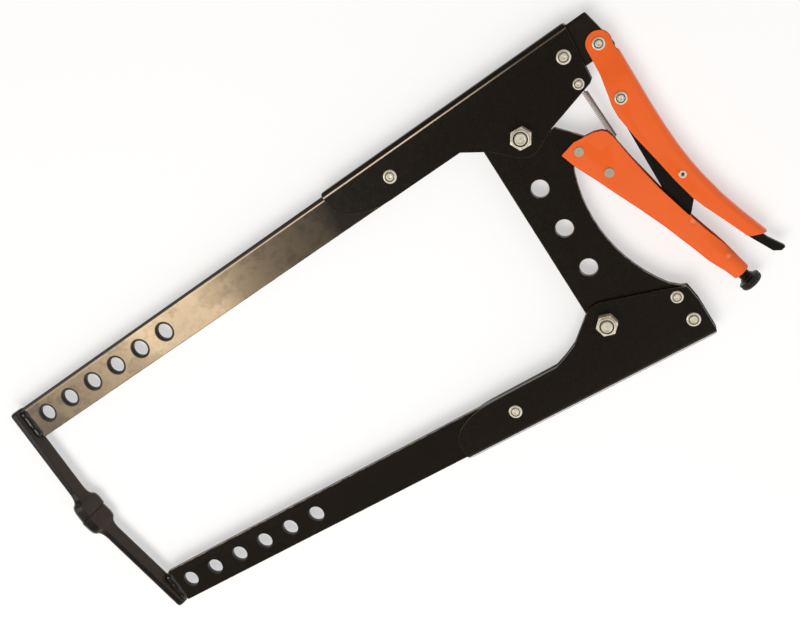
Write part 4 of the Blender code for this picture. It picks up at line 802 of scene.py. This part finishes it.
class CLAMP_OT_jaws(bpy.types.Operator):
    """Turns the two jaws, presses their flats and cuts their pads"""
    bl_idname = "clamp.jaws"
    bl_label = "Jaws"

    def execute(self, context):
        for name, sign, out, lean, length in JAW_SHAPES:
            axis = Vector((-sign * math.sin(lean), sign * math.cos(lean), 0.0))
            profile = [(PAD_RADIUS * across, along) for across, along in PAD_PROFILE]
            profile += [(SHANK_RADIUS, along) for along in SHANK_RINGS]
            profile += [(SHANK_RADIUS * across, length - back) for across, back in SHANK_END]
            jaw = turned(name + "_forging", profile, JAW_FACETS, lambda point: self.in_flat(point, sign))
            put(jaw, JAW_CONTACT + Vector((out, 0.0, 0.0)) - axis * PAD_TRIM, axis)
            self.trim(jaw, sign)
            self.seat(jaw, name)
            round_edges(jaw, JAW_EDGE, 3, JAW_SHARP, worn=True)
            # Faces turned further than that toward the throat keep the lit finish; the rest take the darker copy,
            # a painted shade
            for face in jaw.data.polygons:
                around = math.degrees(math.atan2(face.normal.x, face.normal.z))
                face.material_index = 0 if PAINTED_SHADE_END < around else 1
            mount(smooth(jaw), finish("forged_black"), name, edge=finish("forged_shade"))
        return {"FINISHED"}

    def in_flat(self, point, sign):
        """Whether a point of the first ring lies between the ends of a flat."""
        angle = math.degrees(math.atan2(-point.x * sign, point.y))
        return any(start + FLAT_MARGIN < angle < end - FLAT_MARGIN for start, end in FLATS)

    def trim(self, jaw, sign):
        """Cuts the pad off at the plane where the two jaws meet."""
        activate(jaw)
        normal = Vector((-math.sin(JAW_LEAN), math.cos(JAW_LEAN), 0.0))
        face = JAW_CONTACT + normal * sign * CONTACT_GAP
        bpy.ops.object.mode_set(mode="EDIT")
        bpy.ops.mesh.select_all(action="SELECT")
        bpy.ops.mesh.bisect(
            plane_co=face, plane_no=normal, use_fill=True, clear_inner=sign > 0, clear_outer=sign < 0)
        bpy.ops.mesh.select_all(action="SELECT")
        bpy.ops.mesh.normals_make_consistent(inside=False)
        bpy.ops.object.mode_set(mode="OBJECT")

    def seat(self, jaw, name):
        """Cuts the slot that the bar's end sits in, where the solids have it."""
        place, turn, bar = JAW_BARS[name]
        start = SLOT_STARTS[name]
        length, wide, high = SLOT
        low = (start, bar - wide, -high)
        cut(jaw, block("bar_seat", low, (start + length, bar + wide, high), place, turn))


# Weld beads, each a row of overlapping ripples along the end of a bar
WELD_STARTS = {"upper_jaw": -0.4390, "lower_jaw": -0.4042}
WELD_RADIUS = 0.0042
WELD_REACH = 0.0125
WELD_STEPS = 40
WELD_FACETS = 32
# How far a bead is turned about itself, and how much of the bar's tilt is added
WELD_TURN = 0.4
WELD_TILTS = 9
# Height of each row of ripples, its turn from step to step and its start
WELD_RIPPLES = ((0.00002, 1.4, 0.0), (0.00022, 0.36, 1.0))
# The bead's ends: their share of its width, and how many steps it takes to reach all of it
WELD_END = 0.45
WELD_RISE = 5
# The bar's room in the bead: where it starts, and its length, half width and half height
WELD_CUT = 0.0018
BAR_BLOCK = (0.03, 0.02, 0.0022)


class CLAMP_OT_welds(bpy.types.Operator):
    """Lays a rippled weld bead along the end of each bar"""
    bl_idname = "clamp.welds"
    bl_label = "Weld beads"

    def execute(self, context):
        profile = []
        for step in range(WELD_STEPS + 1):
            swell = sum(height * math.sin(step * turn + start) for height, turn, start in WELD_RIPPLES)
            rise = math.sqrt(min(step, WELD_STEPS - step) / WELD_RISE)
            taper = min(1.0, WELD_END + (1.0 - WELD_END) * rise)
            profile.append(((WELD_RADIUS + swell) * taper, -WELD_REACH + 2 * WELD_REACH * step / WELD_STEPS))
        bead = turned("weld_bead", profile, WELD_FACETS)
        smooth(bead, ROUND_SMOOTH)
        length, wide, high = BAR_BLOCK
        for node, (origin, tilt, across) in JAW_BARS.items():
            way = Matrix.Rotation(tilt, 3, "Z")
            place = origin + way @ Vector((WELD_STARTS[node], across, 0.0))
            piece = twin(bead, node + "_weld_bead")
            put(piece, place, way @ Vector((0.0, 1.0, 0.0)), WELD_TURN + tilt * WELD_TILTS)
            end = place + way @ Vector((WELD_CUT, 0.0, 0.0))
            cut(piece, block("bar_end", (0.0, -wide, -high), (length, wide, high), end, tilt))
            mount(piece, finish("weld_black"), node, replace=False)
        bpy.data.objects.remove(bead)
        return {"FINISHED"}


# Handles, link and lever

# The upper handle's lower end in plan: a place on it, its way down, its top, its slant and its bands
END_PLACE = Vector((0.1090, 0.0065, 0.0))
END_WAY = Vector((0.344, -0.939, 0.0))
END_TOP = 0.0105
END_SLANT = 0.55
END_BAND = 0.0005
END_BANDS = range(-8, 14)
# The shortest edges that the link and the lever keep
LINKAGE_MERGE = (("toggle_link", 0.0006), ("release_lever", 0.0003))


class CLAMP_OT_handles(bpy.types.Operator):
    """Rounds and paints the two pressed handles"""
    bl_idname = "clamp.handles"
    bl_label = "Handles"

    def execute(self, context):
        for node in ("upper_handle", "fixed_handle"):
            handle = node_copy(node, node + "_pressing")
            if node == "upper_handle":
                self.slant(handle)
            round_edges(handle, context.scene.clamp_sizes.sheet_edge, 2)
            mount(smooth(handle, HANDLE_SMOOTH), finish("handle_enamel"), node)
        return {"FINISHED"}

    def slant(self, handle):
        """Slants the lower end, band by band, so that its outer corner reaches further."""
        across = Vector((-END_WAY.y, END_WAY.x, 0.0))
        for band in END_BANDS:
            start = band * END_BAND
            select_points(handle, lambda point: point.y < END_TOP
                          and start <= (point - END_PLACE).dot(across) < start + END_BAND)
            bpy.ops.transform.translate(value=END_WAY * start * END_SLANT)
            bpy.ops.object.mode_set(mode="OBJECT")


class CLAMP_OT_linkage(bpy.types.Operator):
    """Rounds and blackens the toggle link and the release lever, without their shortest edges"""
    bl_idname = "clamp.linkage"
    bl_label = "Link and lever"

    def execute(self, context):
        for node, merge in LINKAGE_MERGE:
            piece = node_copy(node, node + "_stamping", merge)
            round_edges(piece, context.scene.clamp_sizes.bar_edge, 3, fit=True)
            mount(smooth(piece), finish("link_black"), node)
        return {"FINISHED"}


# Rivets: the rings of a head from its rim to its middle, as shares of the head's radius and height
HEAD_RINGS = (
    (0.985, 0.00), (1.000, 0.12), (1.000, 0.28), (0.985, 0.42), (0.940, 0.58), (0.870, 0.71), (0.790, 0.79),
    (0.720, 0.80), (0.680, 0.70), (0.640, 0.52), (0.590, 0.50), (0.550, 0.62), (0.520, 0.84), (0.470, 0.96),
    (0.400, 1.00), (0.300, 0.99), (0.230, 0.94), (0.170, 0.84), (0.100, 0.80), (0.010, 0.80),
)
FLAT_RINGS = (
    (0.985, 0.00), (1.000, 0.30), (0.985, 0.72), (0.930, 0.95), (0.800, 1.00), (0.560, 1.00), (0.530, 0.88),
    (0.500, 0.88), (0.460, 0.98), (0.200, 0.98), (0.020, 0.98),
)
# Shares of the head's radius between which the groove gets a darker zinc, a painted shade
GROOVE = (0.56, 0.70)
RIVET_FACETS = 40
EYELET_FACETS = 32
# How far a rivet is turned for each letter of its name, so that the rivets don't all look alike
RIVET_TURN = 0.7
RINGED_RIVETS = ("lower_front_rivet", "lower_rear_rivet", "upper_front_rivet", "upper_rear_rivet",
                 "plate_rivet", "spring_pin", "handle_pivot_rivet", "link_pivot_rivet")
GREY_RIVETS = ("tongue_rivet_upper", "tongue_rivet_lower")
# Height of the head and radius of the shank, for the ringed and for the grey rivets
RINGED_SIZE = (0.0013, 0.0026)
GREY_SIZE = (0.0005, 0.0022)
# The lever's hollow rivet, from its rim to the bottom of its bore
EYELET_RINGS = (
    (0.0018, 0.0065), (0.0024, 0.0065), (0.0025, 0.0067), (0.00245, 0.0069), (0.0022, 0.0070),
    (0.0016, 0.0070), (0.0012, 0.0068), (0.0011, 0.0060), (0.0011, 0.0010), (0.0001, 0.0010),
)


def rivet_profile(head, shank, seat, height, rings):
    """Both heads and the shank of a rivet, from its lower middle to its upper middle."""
    upper = [(head * across, seat + height * up) for across, up in rings]
    lower = [(radius, -z) for radius, z in upper[::-1]]
    return lower + [(shank, -seat), (shank, seat)] + upper


class CLAMP_OT_rivets(bpy.types.Operator):
    """Turns the rivets of covers, handles and plate with their ringed heads"""
    bl_idname = "clamp.rivets"
    bl_label = "Rivets"

    def execute(self, context):
        self.row(RINGED_RIVETS, *RINGED_SIZE, HEAD_RINGS, "rivet_zinc", "groove_dirt")
        self.row(GREY_RIVETS, *GREY_SIZE, FLAT_RINGS, "dull_grey", "dull_grey")
        self.hollow_rivet()
        return {"FINISHED"}

    def row(self, nodes, height, shank, rings, coat, groove):
        """Turns one rivet of each size and puts a copy of it wherever the solids have that size."""
        models = {}
        for node in nodes:
            low, high = (Vector(corner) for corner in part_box(node))
            radius = (high.x - low.x) / 2
            seat = high.z - MID_HEIGHT - height
            size = (round(radius, 4), round(seat, 4))
            if size not in models:
                profile = rivet_profile(radius, shank, seat, height, rings)
                model = turned("rivet_model", profile, RIVET_FACETS)
                for slot in range(2):
                    model.data.materials.append(None)
                for face in model.data.polygons:
                    share = math.hypot(face.center.x, face.center.y) / radius
                    # Faces in the groove take the darker zinc, a painted shade
                    if abs(face.center.z) > seat and GROOVE[0] < share < GROOVE[1]:
                        face.material_index = 1
                models[size] = smooth(model, RIVET_SMOOTH)
            rivet = put(twin(models[size], node + "_head"), middle(node), turn=len(node) * RIVET_TURN)
            mount(rivet, finish(coat), node, edge=finish(groove))
        for model in models.values():
            bpy.data.objects.remove(model)

    def hollow_rivet(self):
        """The lever's hollow rivet: a rolled head with an open, dark bore."""
        profile = [(radius, -height) for radius, height in EYELET_RINGS[::-1]] + list(EYELET_RINGS)
        rivet = put(turned("lever_rivet_eyelet", profile, EYELET_FACETS), LEVER_PIVOT)
        mount(smooth(rivet, RIVET_SMOOTH), finish("bright_zinc"), "lever_rivet")


# Bolts, lock nuts and washers: radii, and heights from the bars' middle
BOLT_HEAD = (-0.0112, -0.0059)
BOLT_STEM = ((0.0040, -0.0085), (0.0040, 0.0085))
BOLT_RANGE = (0.0085, 0.0118)
BOLT_THREAD = ((0.0040, 0.0), (0.0036, 0.5), (0.0040, 0.9))
BOLT_TIP = ((0.0039, 0.0127), (0.0036, 0.0131), (0.0031, 0.0134), (0.0027, 0.01335), (0.0023, 0.0130),
            (0.0012, 0.0130), (0.0001, 0.0131))
NUT = (0.0045, 0.0107)
NUT_COLLAR = ((0.0052, 0.0085), (0.0059, 0.0107), (0.0059, 0.0114), (0.00582, 0.0118), (0.0056, 0.0122),
              (0.0054, 0.0124), (0.0052, 0.0125), (0.0050, 0.0124))
NUT_BORE = ((0.0049, 0.0), (0.0049, 0.03))
LOCKING_RING = ((0.0049, 0.0100), (0.0049, 0.0112), (0.0047, 0.0114), (0.0042, 0.0113))
RING_BORE = ((0.0041, 0.0), (0.0041, 0.03))
WASHER = ((0.0077, -0.0057), (0.0079, -0.0055), (0.0079, -0.0047), (0.0077, -0.0045))
WASHER_BORE = ((0.0043, -0.02), (0.0043, 0.02))
BOLT_FACETS = 48
NUT_FACETS = 64
# Where a chamfer starts on the flats, its fall toward the corners, and how far it is turned beyond them
CHAMFER_START = 0.985
CHAMFER_FALL = 0.55
CHAMFER_OVER = 1.02
# Each bolt set's place and the turns of its bolt and its nut
BOLT_SETS = (
    ("lower", LOWER_ORIGIN, 0.0, math.radians(15)),
    ("pivot", PIVOT, UPPER_TILT, math.radians(25) + UPPER_TILT),
)


def hexagon(name, flats, low, high, chamfer_low, chamfer_high):
    """A hexagon with the arcs that a turned chamfer leaves on its corners."""
    corner = flats / math.sqrt(3)
    piece = turned(name, [(corner, low), (corner, high)], 6)
    inner = flats / 2 * CHAMFER_START
    outer = corner * CHAMFER_OVER
    slope = (corner - inner) * CHAMFER_FALL
    rings = [(inner if chamfer_low else outer, low), (outer, low + slope),
             (outer, high - slope), (inner if chamfer_high else outer, high)]
    return cut(piece, turned(name + "_chamfer", rings, NUT_FACETS), "INTERSECT")


def thread(start, end, pitch, turn):
    """The profile of a thread, from the radii of one turn and their places as shares of the pitch."""
    points = []
    along = start
    while along < end:
        points += [(radius, along + pitch * share) for radius, share in turn]
        along += pitch
    return points


class CLAMP_OT_bolts(bpy.types.Operator):
    """Makes the bolt, its lock nut and its washer once and puts a set at each of the two places"""
    bl_idname = "clamp.bolts"
    bl_label = "Bolts, nuts and washers"

    def execute(self, context):
        sizes = context.scene.clamp_sizes
        bolt, nut = self.bolt(sizes), self.nut(sizes)
        locking_ring = self.ring("locking_ring", LOCKING_RING, RING_BORE)
        washer = self.ring("washer", WASHER, WASHER_BORE)
        models = (
            (bolt, "_bolt", "_bolt_body", "worn_zinc", True, False),
            (nut, "_nut", "_nut_body", "bright_zinc", True, True),
            (locking_ring, "_nut", "_nut_locking_ring", "ring_black", False, True),
            (washer, "_washer", "_washer_ring", "bright_zinc", True, False),
        )
        for part, place, plain_turn, nut_turn in BOLT_SETS:
            for model, node, name, coat, replace, is_nut in models:
                piece = put(twin(model, part + name), place, turn=nut_turn if is_nut else plain_turn)
                mount(piece, finish(coat), part + node, replace)
        for model in (bolt, nut, locking_ring, washer):
            bpy.data.objects.remove(model)
        return {"FINISHED"}

    def bolt(self, sizes):
        """A bolt: its chamfered head below, its thread and domed end above the nut."""
        head = hexagon("bolt_model", sizes.nut_flats, *BOLT_HEAD, True, False)
        profile = [*BOLT_STEM, *thread(*BOLT_RANGE, sizes.thread_pitch, BOLT_THREAD), *BOLT_TIP]
        return smooth(cut(head, turned("bolt_stem", profile, BOLT_FACETS), "UNION"))

    def nut(self, sizes):
        """A lock nut: chamfered hexagon and rounded collar."""
        nut = hexagon("nut_model", sizes.nut_flats, *NUT, True, True)
        cut(nut, turned("nut_collar", NUT_COLLAR, NUT_FACETS), "UNION")
        return smooth(cut(nut, turned("nut_bore", NUT_BORE, BOLT_FACETS)))

    def ring(self, name, profile, bore):
        """A ring with its bore: the washer under the bolt's head, or the dark ring in the nut's collar."""
        ring = turned(name + "_model", profile, BOLT_FACETS)
        return smooth(cut(ring, turned(name + "_bore", bore, BOLT_FACETS)))


# Screw and knob, along the screw's axis with zero at the tube's open end: radii and places
SCREW_STUB = ((0.0023, -0.0084), (0.0023, -0.0041), (0.0032, -0.0040))
SCREW_RANGE = (-0.0039, 0.0410)
SCREW_THREAD = ((0.00385, 0.12), (0.00385, 0.38), (0.0033, 0.72))
SCREW_TIP = ((0.0036, 0.0418), (0.0034, 0.0425), (0.0027, 0.0440), (0.0001, 0.0440))
SCREW_FACETS = 40
KNOB_FACETS = 96
KNOB_RADIUS = 0.0075
KNOB_START = -0.0042
KNOB_LENGTH = 0.0073
# The knob from its back to its neck, as shares of its radius and its length
KNOB_SHARES = (
    (0.01, 1.00), (0.40, 1.00), (0.55, 0.99), (0.68, 0.965), (0.78, 0.93), (0.87, 0.88), (0.93, 0.82),
    (0.975, 0.72), (1.00, 0.62), (1.00, 0.55), (0.955, 0.51), (0.94, 0.48), (0.955, 0.45), (1.00, 0.41),
    (1.00, 0.33), (0.975, 0.27), (0.90, 0.225), (0.78, 0.19), (0.70, 0.16), (0.65, 0.11), (0.62, 0.05),
    (0.62, 0.00),
)
# The grip's notches: degrees from one to the next and across each, where they start, and how deep they go
GRIP_PITCH = 15.0
GRIP_WIDTH = 4.5
GRIP_RIM = 0.96
GRIP_DEPTH = 0.95


class CLAMP_OT_screw(bpy.types.Operator):
    """Makes the adjusting screw with its thread and the knurled knob"""
    bl_idname = "clamp.screw"
    bl_label = "Screw and knob"

    def execute(self, context):
        pitch = context.scene.clamp_sizes.thread_pitch
        profile = [*SCREW_STUB, *thread(*SCREW_RANGE, pitch, SCREW_THREAD), *SCREW_TIP]
        rod = put(turned("adjusting_screw_rod", profile, SCREW_FACETS), TUBE_END, SCREW_AXIS)
        mount(smooth(rod, ROUND_SMOOTH), finish("black_oxide"), "adjusting_screw")
        self.knob()
        return {"FINISHED"}

    def knob(self):
        """The knob: a neck, a flange with grip notches and a round back."""
        profile = [(KNOB_RADIUS * across, KNOB_START - KNOB_LENGTH * down) for across, down in KNOB_SHARES]
        knob = turned("adjusting_knob_grip", profile, KNOB_FACETS)
        select_points(knob, lambda point: math.hypot(point.x, point.y) > KNOB_RADIUS * GRIP_RIM
                      and math.degrees(math.atan2(point.y, point.x)) % GRIP_PITCH < GRIP_WIDTH)
        bpy.ops.transform.resize(value=(GRIP_DEPTH, GRIP_DEPTH, 1.0), center_override=(0.0, 0.0, KNOB_START))
        bpy.ops.object.mode_set(mode="OBJECT")
        put(knob, TUBE_END, SCREW_AXIS)
        mount(smooth(knob, KNOB_SMOOTH), finish("black_oxide"), "adjusting_knob")


# Spring: a loop round its pin, close coils, a long leg and a hook through the plate's ear
SPRING_EAR = Vector((0.0672, 0.0742, MID_HEIGHT))
SPRING_PITCH = 0.00105
SPRING_RADIUS = 0.00170
COIL_STEPS = 20
PIN_SHANK = 0.0026
EAR_RADIUS = 0.0032
PLATE_HALF = 0.0020
HOOK_GAP = 0.0003
# The loop's start and sweep in degrees and its steps, and how near to the coils it ends, in coil radii
LOOP = (-60, -250, 24)
LOOP_END = 0.6
HOOK_BEND = 0.0006


class CLAMP_OT_spring(bpy.types.Operator):
    """Winds the tension spring between its pin and the plate's ear"""
    bl_idname = "clamp.spring"
    bl_label = "Tension spring"

    def execute(self, context):
        sizes = context.scene.clamp_sizes
        pin = middle("spring_pin")
        wire = sizes.spring_wire / 2
        down = (SPRING_EAR - pin).normalized()
        points = self.coils(pin, down, wire, sizes.spring_turns) + self.hook(down, wire)
        curve = bpy.data.curves.new("tension_spring_wire", "CURVE")
        curve.dimensions = "3D"
        curve.bevel_depth = wire
        curve.bevel_resolution = 2
        curve.use_fill_caps = True
        line = curve.splines.new("POLY")
        line.points.add(len(points) - 1)
        for target, point in zip(line.points, points):
            target.co = (*point, 1.0)
        spring = bpy.data.objects.new("tension_spring_wire", curve)
        context.scene.collection.objects.link(spring)
        activate(spring)
        bpy.ops.object.convert(target="MESH")
        spring = bpy.context.object
        smooth(outward(spring), ROUND_SMOOTH)
        spring.data.materials.clear()
        spring.data.materials.append(finish("spring_steel"))
        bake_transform(spring)
        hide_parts("tension_spring")
        return {"FINISHED"}

    def coils(self, pin, down, wire, turns):
        """The wire's middle line from the loop round the pin to the last coil."""
        side = Vector((-down.y, down.x, 0.0))
        loop = PIN_SHANK + HOOK_GAP + wire
        first, sweep, parts = LOOP
        points = []
        for step in range(parts + 1):
            angle = math.radians(first + sweep * step / parts)
            points.append(pin + down * loop * math.cos(angle) + side * loop * math.sin(angle))
        start = pin + down * (loop + 4 * wire + SPRING_RADIUS)
        points.append(start - down * SPRING_RADIUS * LOOP_END)
        for step in range(turns * COIL_STEPS + 1):
            angle = 2 * math.pi * step / COIL_STEPS
            grow = min(1.0, step / COIL_STEPS * 2, (turns * COIL_STEPS - step) / COIL_STEPS * 2)
            along = start + down * (SPRING_PITCH * step / COIL_STEPS)
            points.append(along + (side * math.cos(angle) + UPWARD * math.sin(angle)) * SPRING_RADIUS * grow)
        return points

    def hook(self, down, wire):
        """The wire's middle line over the plate's edge and down through the ear."""
        over = PLATE_HALF + HOOK_GAP + wire
        edge = EAR_RADIUS + HOOK_GAP
        bends = ((edge + 3 * over, 0.0), (edge + 1.5 * over, 0.0), (edge + over / 4, over),
                 (HOOK_BEND, over), (0.0, PLATE_HALF), (0.0, -PLATE_HALF))
        return [SPRING_EAR - down * back + UPWARD * up for back, up in bends]


# Studio; the sky darkens overhead and toward the jaws and the upper bar
SKY_SLOPE = (-0.45, 0.50, 1.0)
SKY_SPAN = (0.25, 0.85)
SKY_COLOURS = ((0.98, 0.98, 1.0), (1.0, 0.86, 0.70))
# Each lamp's place, the place that it looks at, and its size
KEY_BOX = ((-0.70, -0.56, 2.04), (-0.15, 0.07, 0.0), (1.6, 1.6))
SHEEN_CARD = ((-0.87, 0.26, 0.80), (-0.30, 0.14, 0.0), (0.58, 0.66))
LAMP_COLOUR = (1.0, 0.98, 0.95)
FLOOR_SIZE = 30.0
FLOOR_HEIGHT = -0.0002


class CLAMP_OT_studio(bpy.types.Operator):
    """Sets the camera, the floor, the lamps and the world"""
    bl_idname = "clamp.studio"
    bl_label = "Studio"

    def execute(self, context):
        studio = context.scene.clamp_studio
        camera_data = bpy.data.cameras.new("photo_camera")
        camera_data.sensor_width = 36.0
        camera_data.lens = studio.camera_lens
        camera_data.clip_start = 0.01
        camera_data.clip_end = 100.0
        camera = bpy.data.objects.new("photo_camera", camera_data)
        context.scene.collection.objects.link(camera)
        camera.location = studio.camera_place
        camera.rotation_euler = studio.camera_turn
        context.scene.camera = camera
        self.floor(context)
        key = self.panel("key_box", *KEY_BOX, studio.key_power)
        key.visible_glossy = False
        card = self.panel("sheen_card", *SHEEN_CARD, studio.card_power)
        card.visible_diffuse = False
        self.sky(context, studio)
        context.scene.view_settings.view_transform = "Standard"
        return {"FINISHED"}

    def sky(self, context, studio):
        """Even light that is bright near the horizon and darker overhead."""
        world = context.scene.world or bpy.data.worlds.new("studio_world")
        context.scene.world = world
        world.use_nodes = True
        nodes, links = world.node_tree.nodes, world.node_tree.links
        background = nodes["Background"]
        direction = nodes.new("ShaderNodeTexCoord").outputs["Generated"]
        slope = nodes.new("ShaderNodeVectorMath")
        slope.operation = "DOT_PRODUCT"
        slope.inputs[1].default_value = SKY_SLOPE
        links.new(direction, slope.inputs[0])
        ramp = nodes.new("ShaderNodeMapRange")
        ramp.interpolation_type = "SMOOTHSTEP"
        for socket, value in zip(("From Min", "From Max"), SKY_SPAN):
            ramp.inputs[socket].default_value = value
        links.new(slope.outputs["Value"], ramp.inputs["Value"])
        tint = nodes.new("ShaderNodeMix")
        tint.data_type = "RGBA"
        for socket, colour, strength in zip("AB", SKY_COLOURS, (studio.sky_low, studio.sky_high)):
            tint.inputs[socket].default_value = (*shade(colour, strength), 1.0)
        links.new(ramp.outputs["Result"], tint.inputs["Factor"])
        links.new(tint.outputs["Result"], background.inputs["Color"])

    def floor(self, context):
        """A wide plain floor under the bolt heads, partly plain white to the camera and to reflections."""
        deselect()
        bpy.ops.mesh.primitive_plane_add(size=FLOOR_SIZE, location=(0.0, 0.0, FLOOR_HEIGHT))
        floor = bpy.context.object
        floor.name = "studio_floor"
        apply_place(floor)
        shader = Shader("floor_paper", tuple(context.scene.clamp_colours.floor), 0.0, 0.9)
        shader.set("Specular IOR Level", 0.1)
        nodes, links = shader.nodes, shader.links
        rays = nodes.new("ShaderNodeLightPath").outputs
        seen = shader.math("MAXIMUM", rays["Is Camera Ray"], rays["Is Glossy Ray"])
        seen = shader.math("MAXIMUM", seen, rays["Is Transmission Ray"])
        share = shader.math("MULTIPLY", seen, context.scene.clamp_studio.floor_glow)
        glow = nodes.new("ShaderNodeEmission")
        mix = nodes.new("ShaderNodeMixShader")
        links.new(share, mix.inputs["Fac"])
        links.new(shader.surface.outputs["BSDF"], mix.inputs[1])
        links.new(glow.outputs["Emission"], mix.inputs[2])
        links.new(mix.outputs["Shader"], nodes["Material Output"].inputs["Surface"])
        floor.data.materials.append(shader.bump([(shader.noise(300.0, 2.0), 0.02, 0.0001)]))

    def panel(self, name, place, target, size, power):
        """A rectangular soft lamp that looks at a place."""
        lamp = bpy.data.lights.new(name, "AREA")
        lamp.shape = "RECTANGLE"
        lamp.size, lamp.size_y = size
        lamp.energy = power
        lamp.color = LAMP_COLOUR
        holder = bpy.data.objects.new(name, lamp)
        bpy.context.scene.collection.objects.link(holder)
        holder.location = place
        holder.rotation_euler = (Vector(target) - Vector(place)).to_track_quat("-Z", "Y").to_euler()
        return holder


class CLAMP_PT_panel(bpy.types.Panel):
    """Lists the clamp's pieces in the sidebar"""
    bl_label = "Locking clamp"
    bl_idname = "CLAMP_PT_panel"
    bl_space_type = "VIEW_3D"
    bl_region_type = "UI"
    bl_category = "Clamp"

    def draw(self, context):
        for group in (context.scene.clamp_sizes, context.scene.clamp_colours, context.scene.clamp_studio):
            box = self.layout.box()
            for key in group.__annotations__:
                box.prop(group, key)
        for operator in OPERATORS:
            self.layout.operator(operator.bl_idname)


GROUPS = {"clamp_sizes": ClampSizes, "clamp_colours": ClampColours, "clamp_studio": ClampStudio}
OPERATORS = (
    CLAMP_OT_bars, CLAMP_OT_plate, CLAMP_OT_covers, CLAMP_OT_jaws, CLAMP_OT_welds, CLAMP_OT_handles,
    CLAMP_OT_linkage, CLAMP_OT_rivets, CLAMP_OT_bolts, CLAMP_OT_screw, CLAMP_OT_spring, CLAMP_OT_studio,
)


def register():
    """Adds the properties, the operators and the panel."""
    for kind in (*GROUPS.values(), *OPERATORS, CLAMP_PT_panel):
        bpy.utils.register_class(kind)
    for name, kind in GROUPS.items():
        setattr(bpy.types.Scene, name, bpy.props.PointerProperty(type=kind))


def unregister():
    """Takes away what register adds."""
    for name in GROUPS:
        delattr(bpy.types.Scene, name)
    for kind in (CLAMP_PT_panel, *reversed(OPERATORS), *GROUPS.values()):
        bpy.utils.unregister_class(kind)


def main():
    """Makes the clamp and its studio."""
    register()
    for operator in OPERATORS:
        group, name = operator.bl_idname.split(".")
        getattr(getattr(bpy.ops, group), name)()
    bpy.context.view_layer.update()


if __name__ == "__main__":
    main()
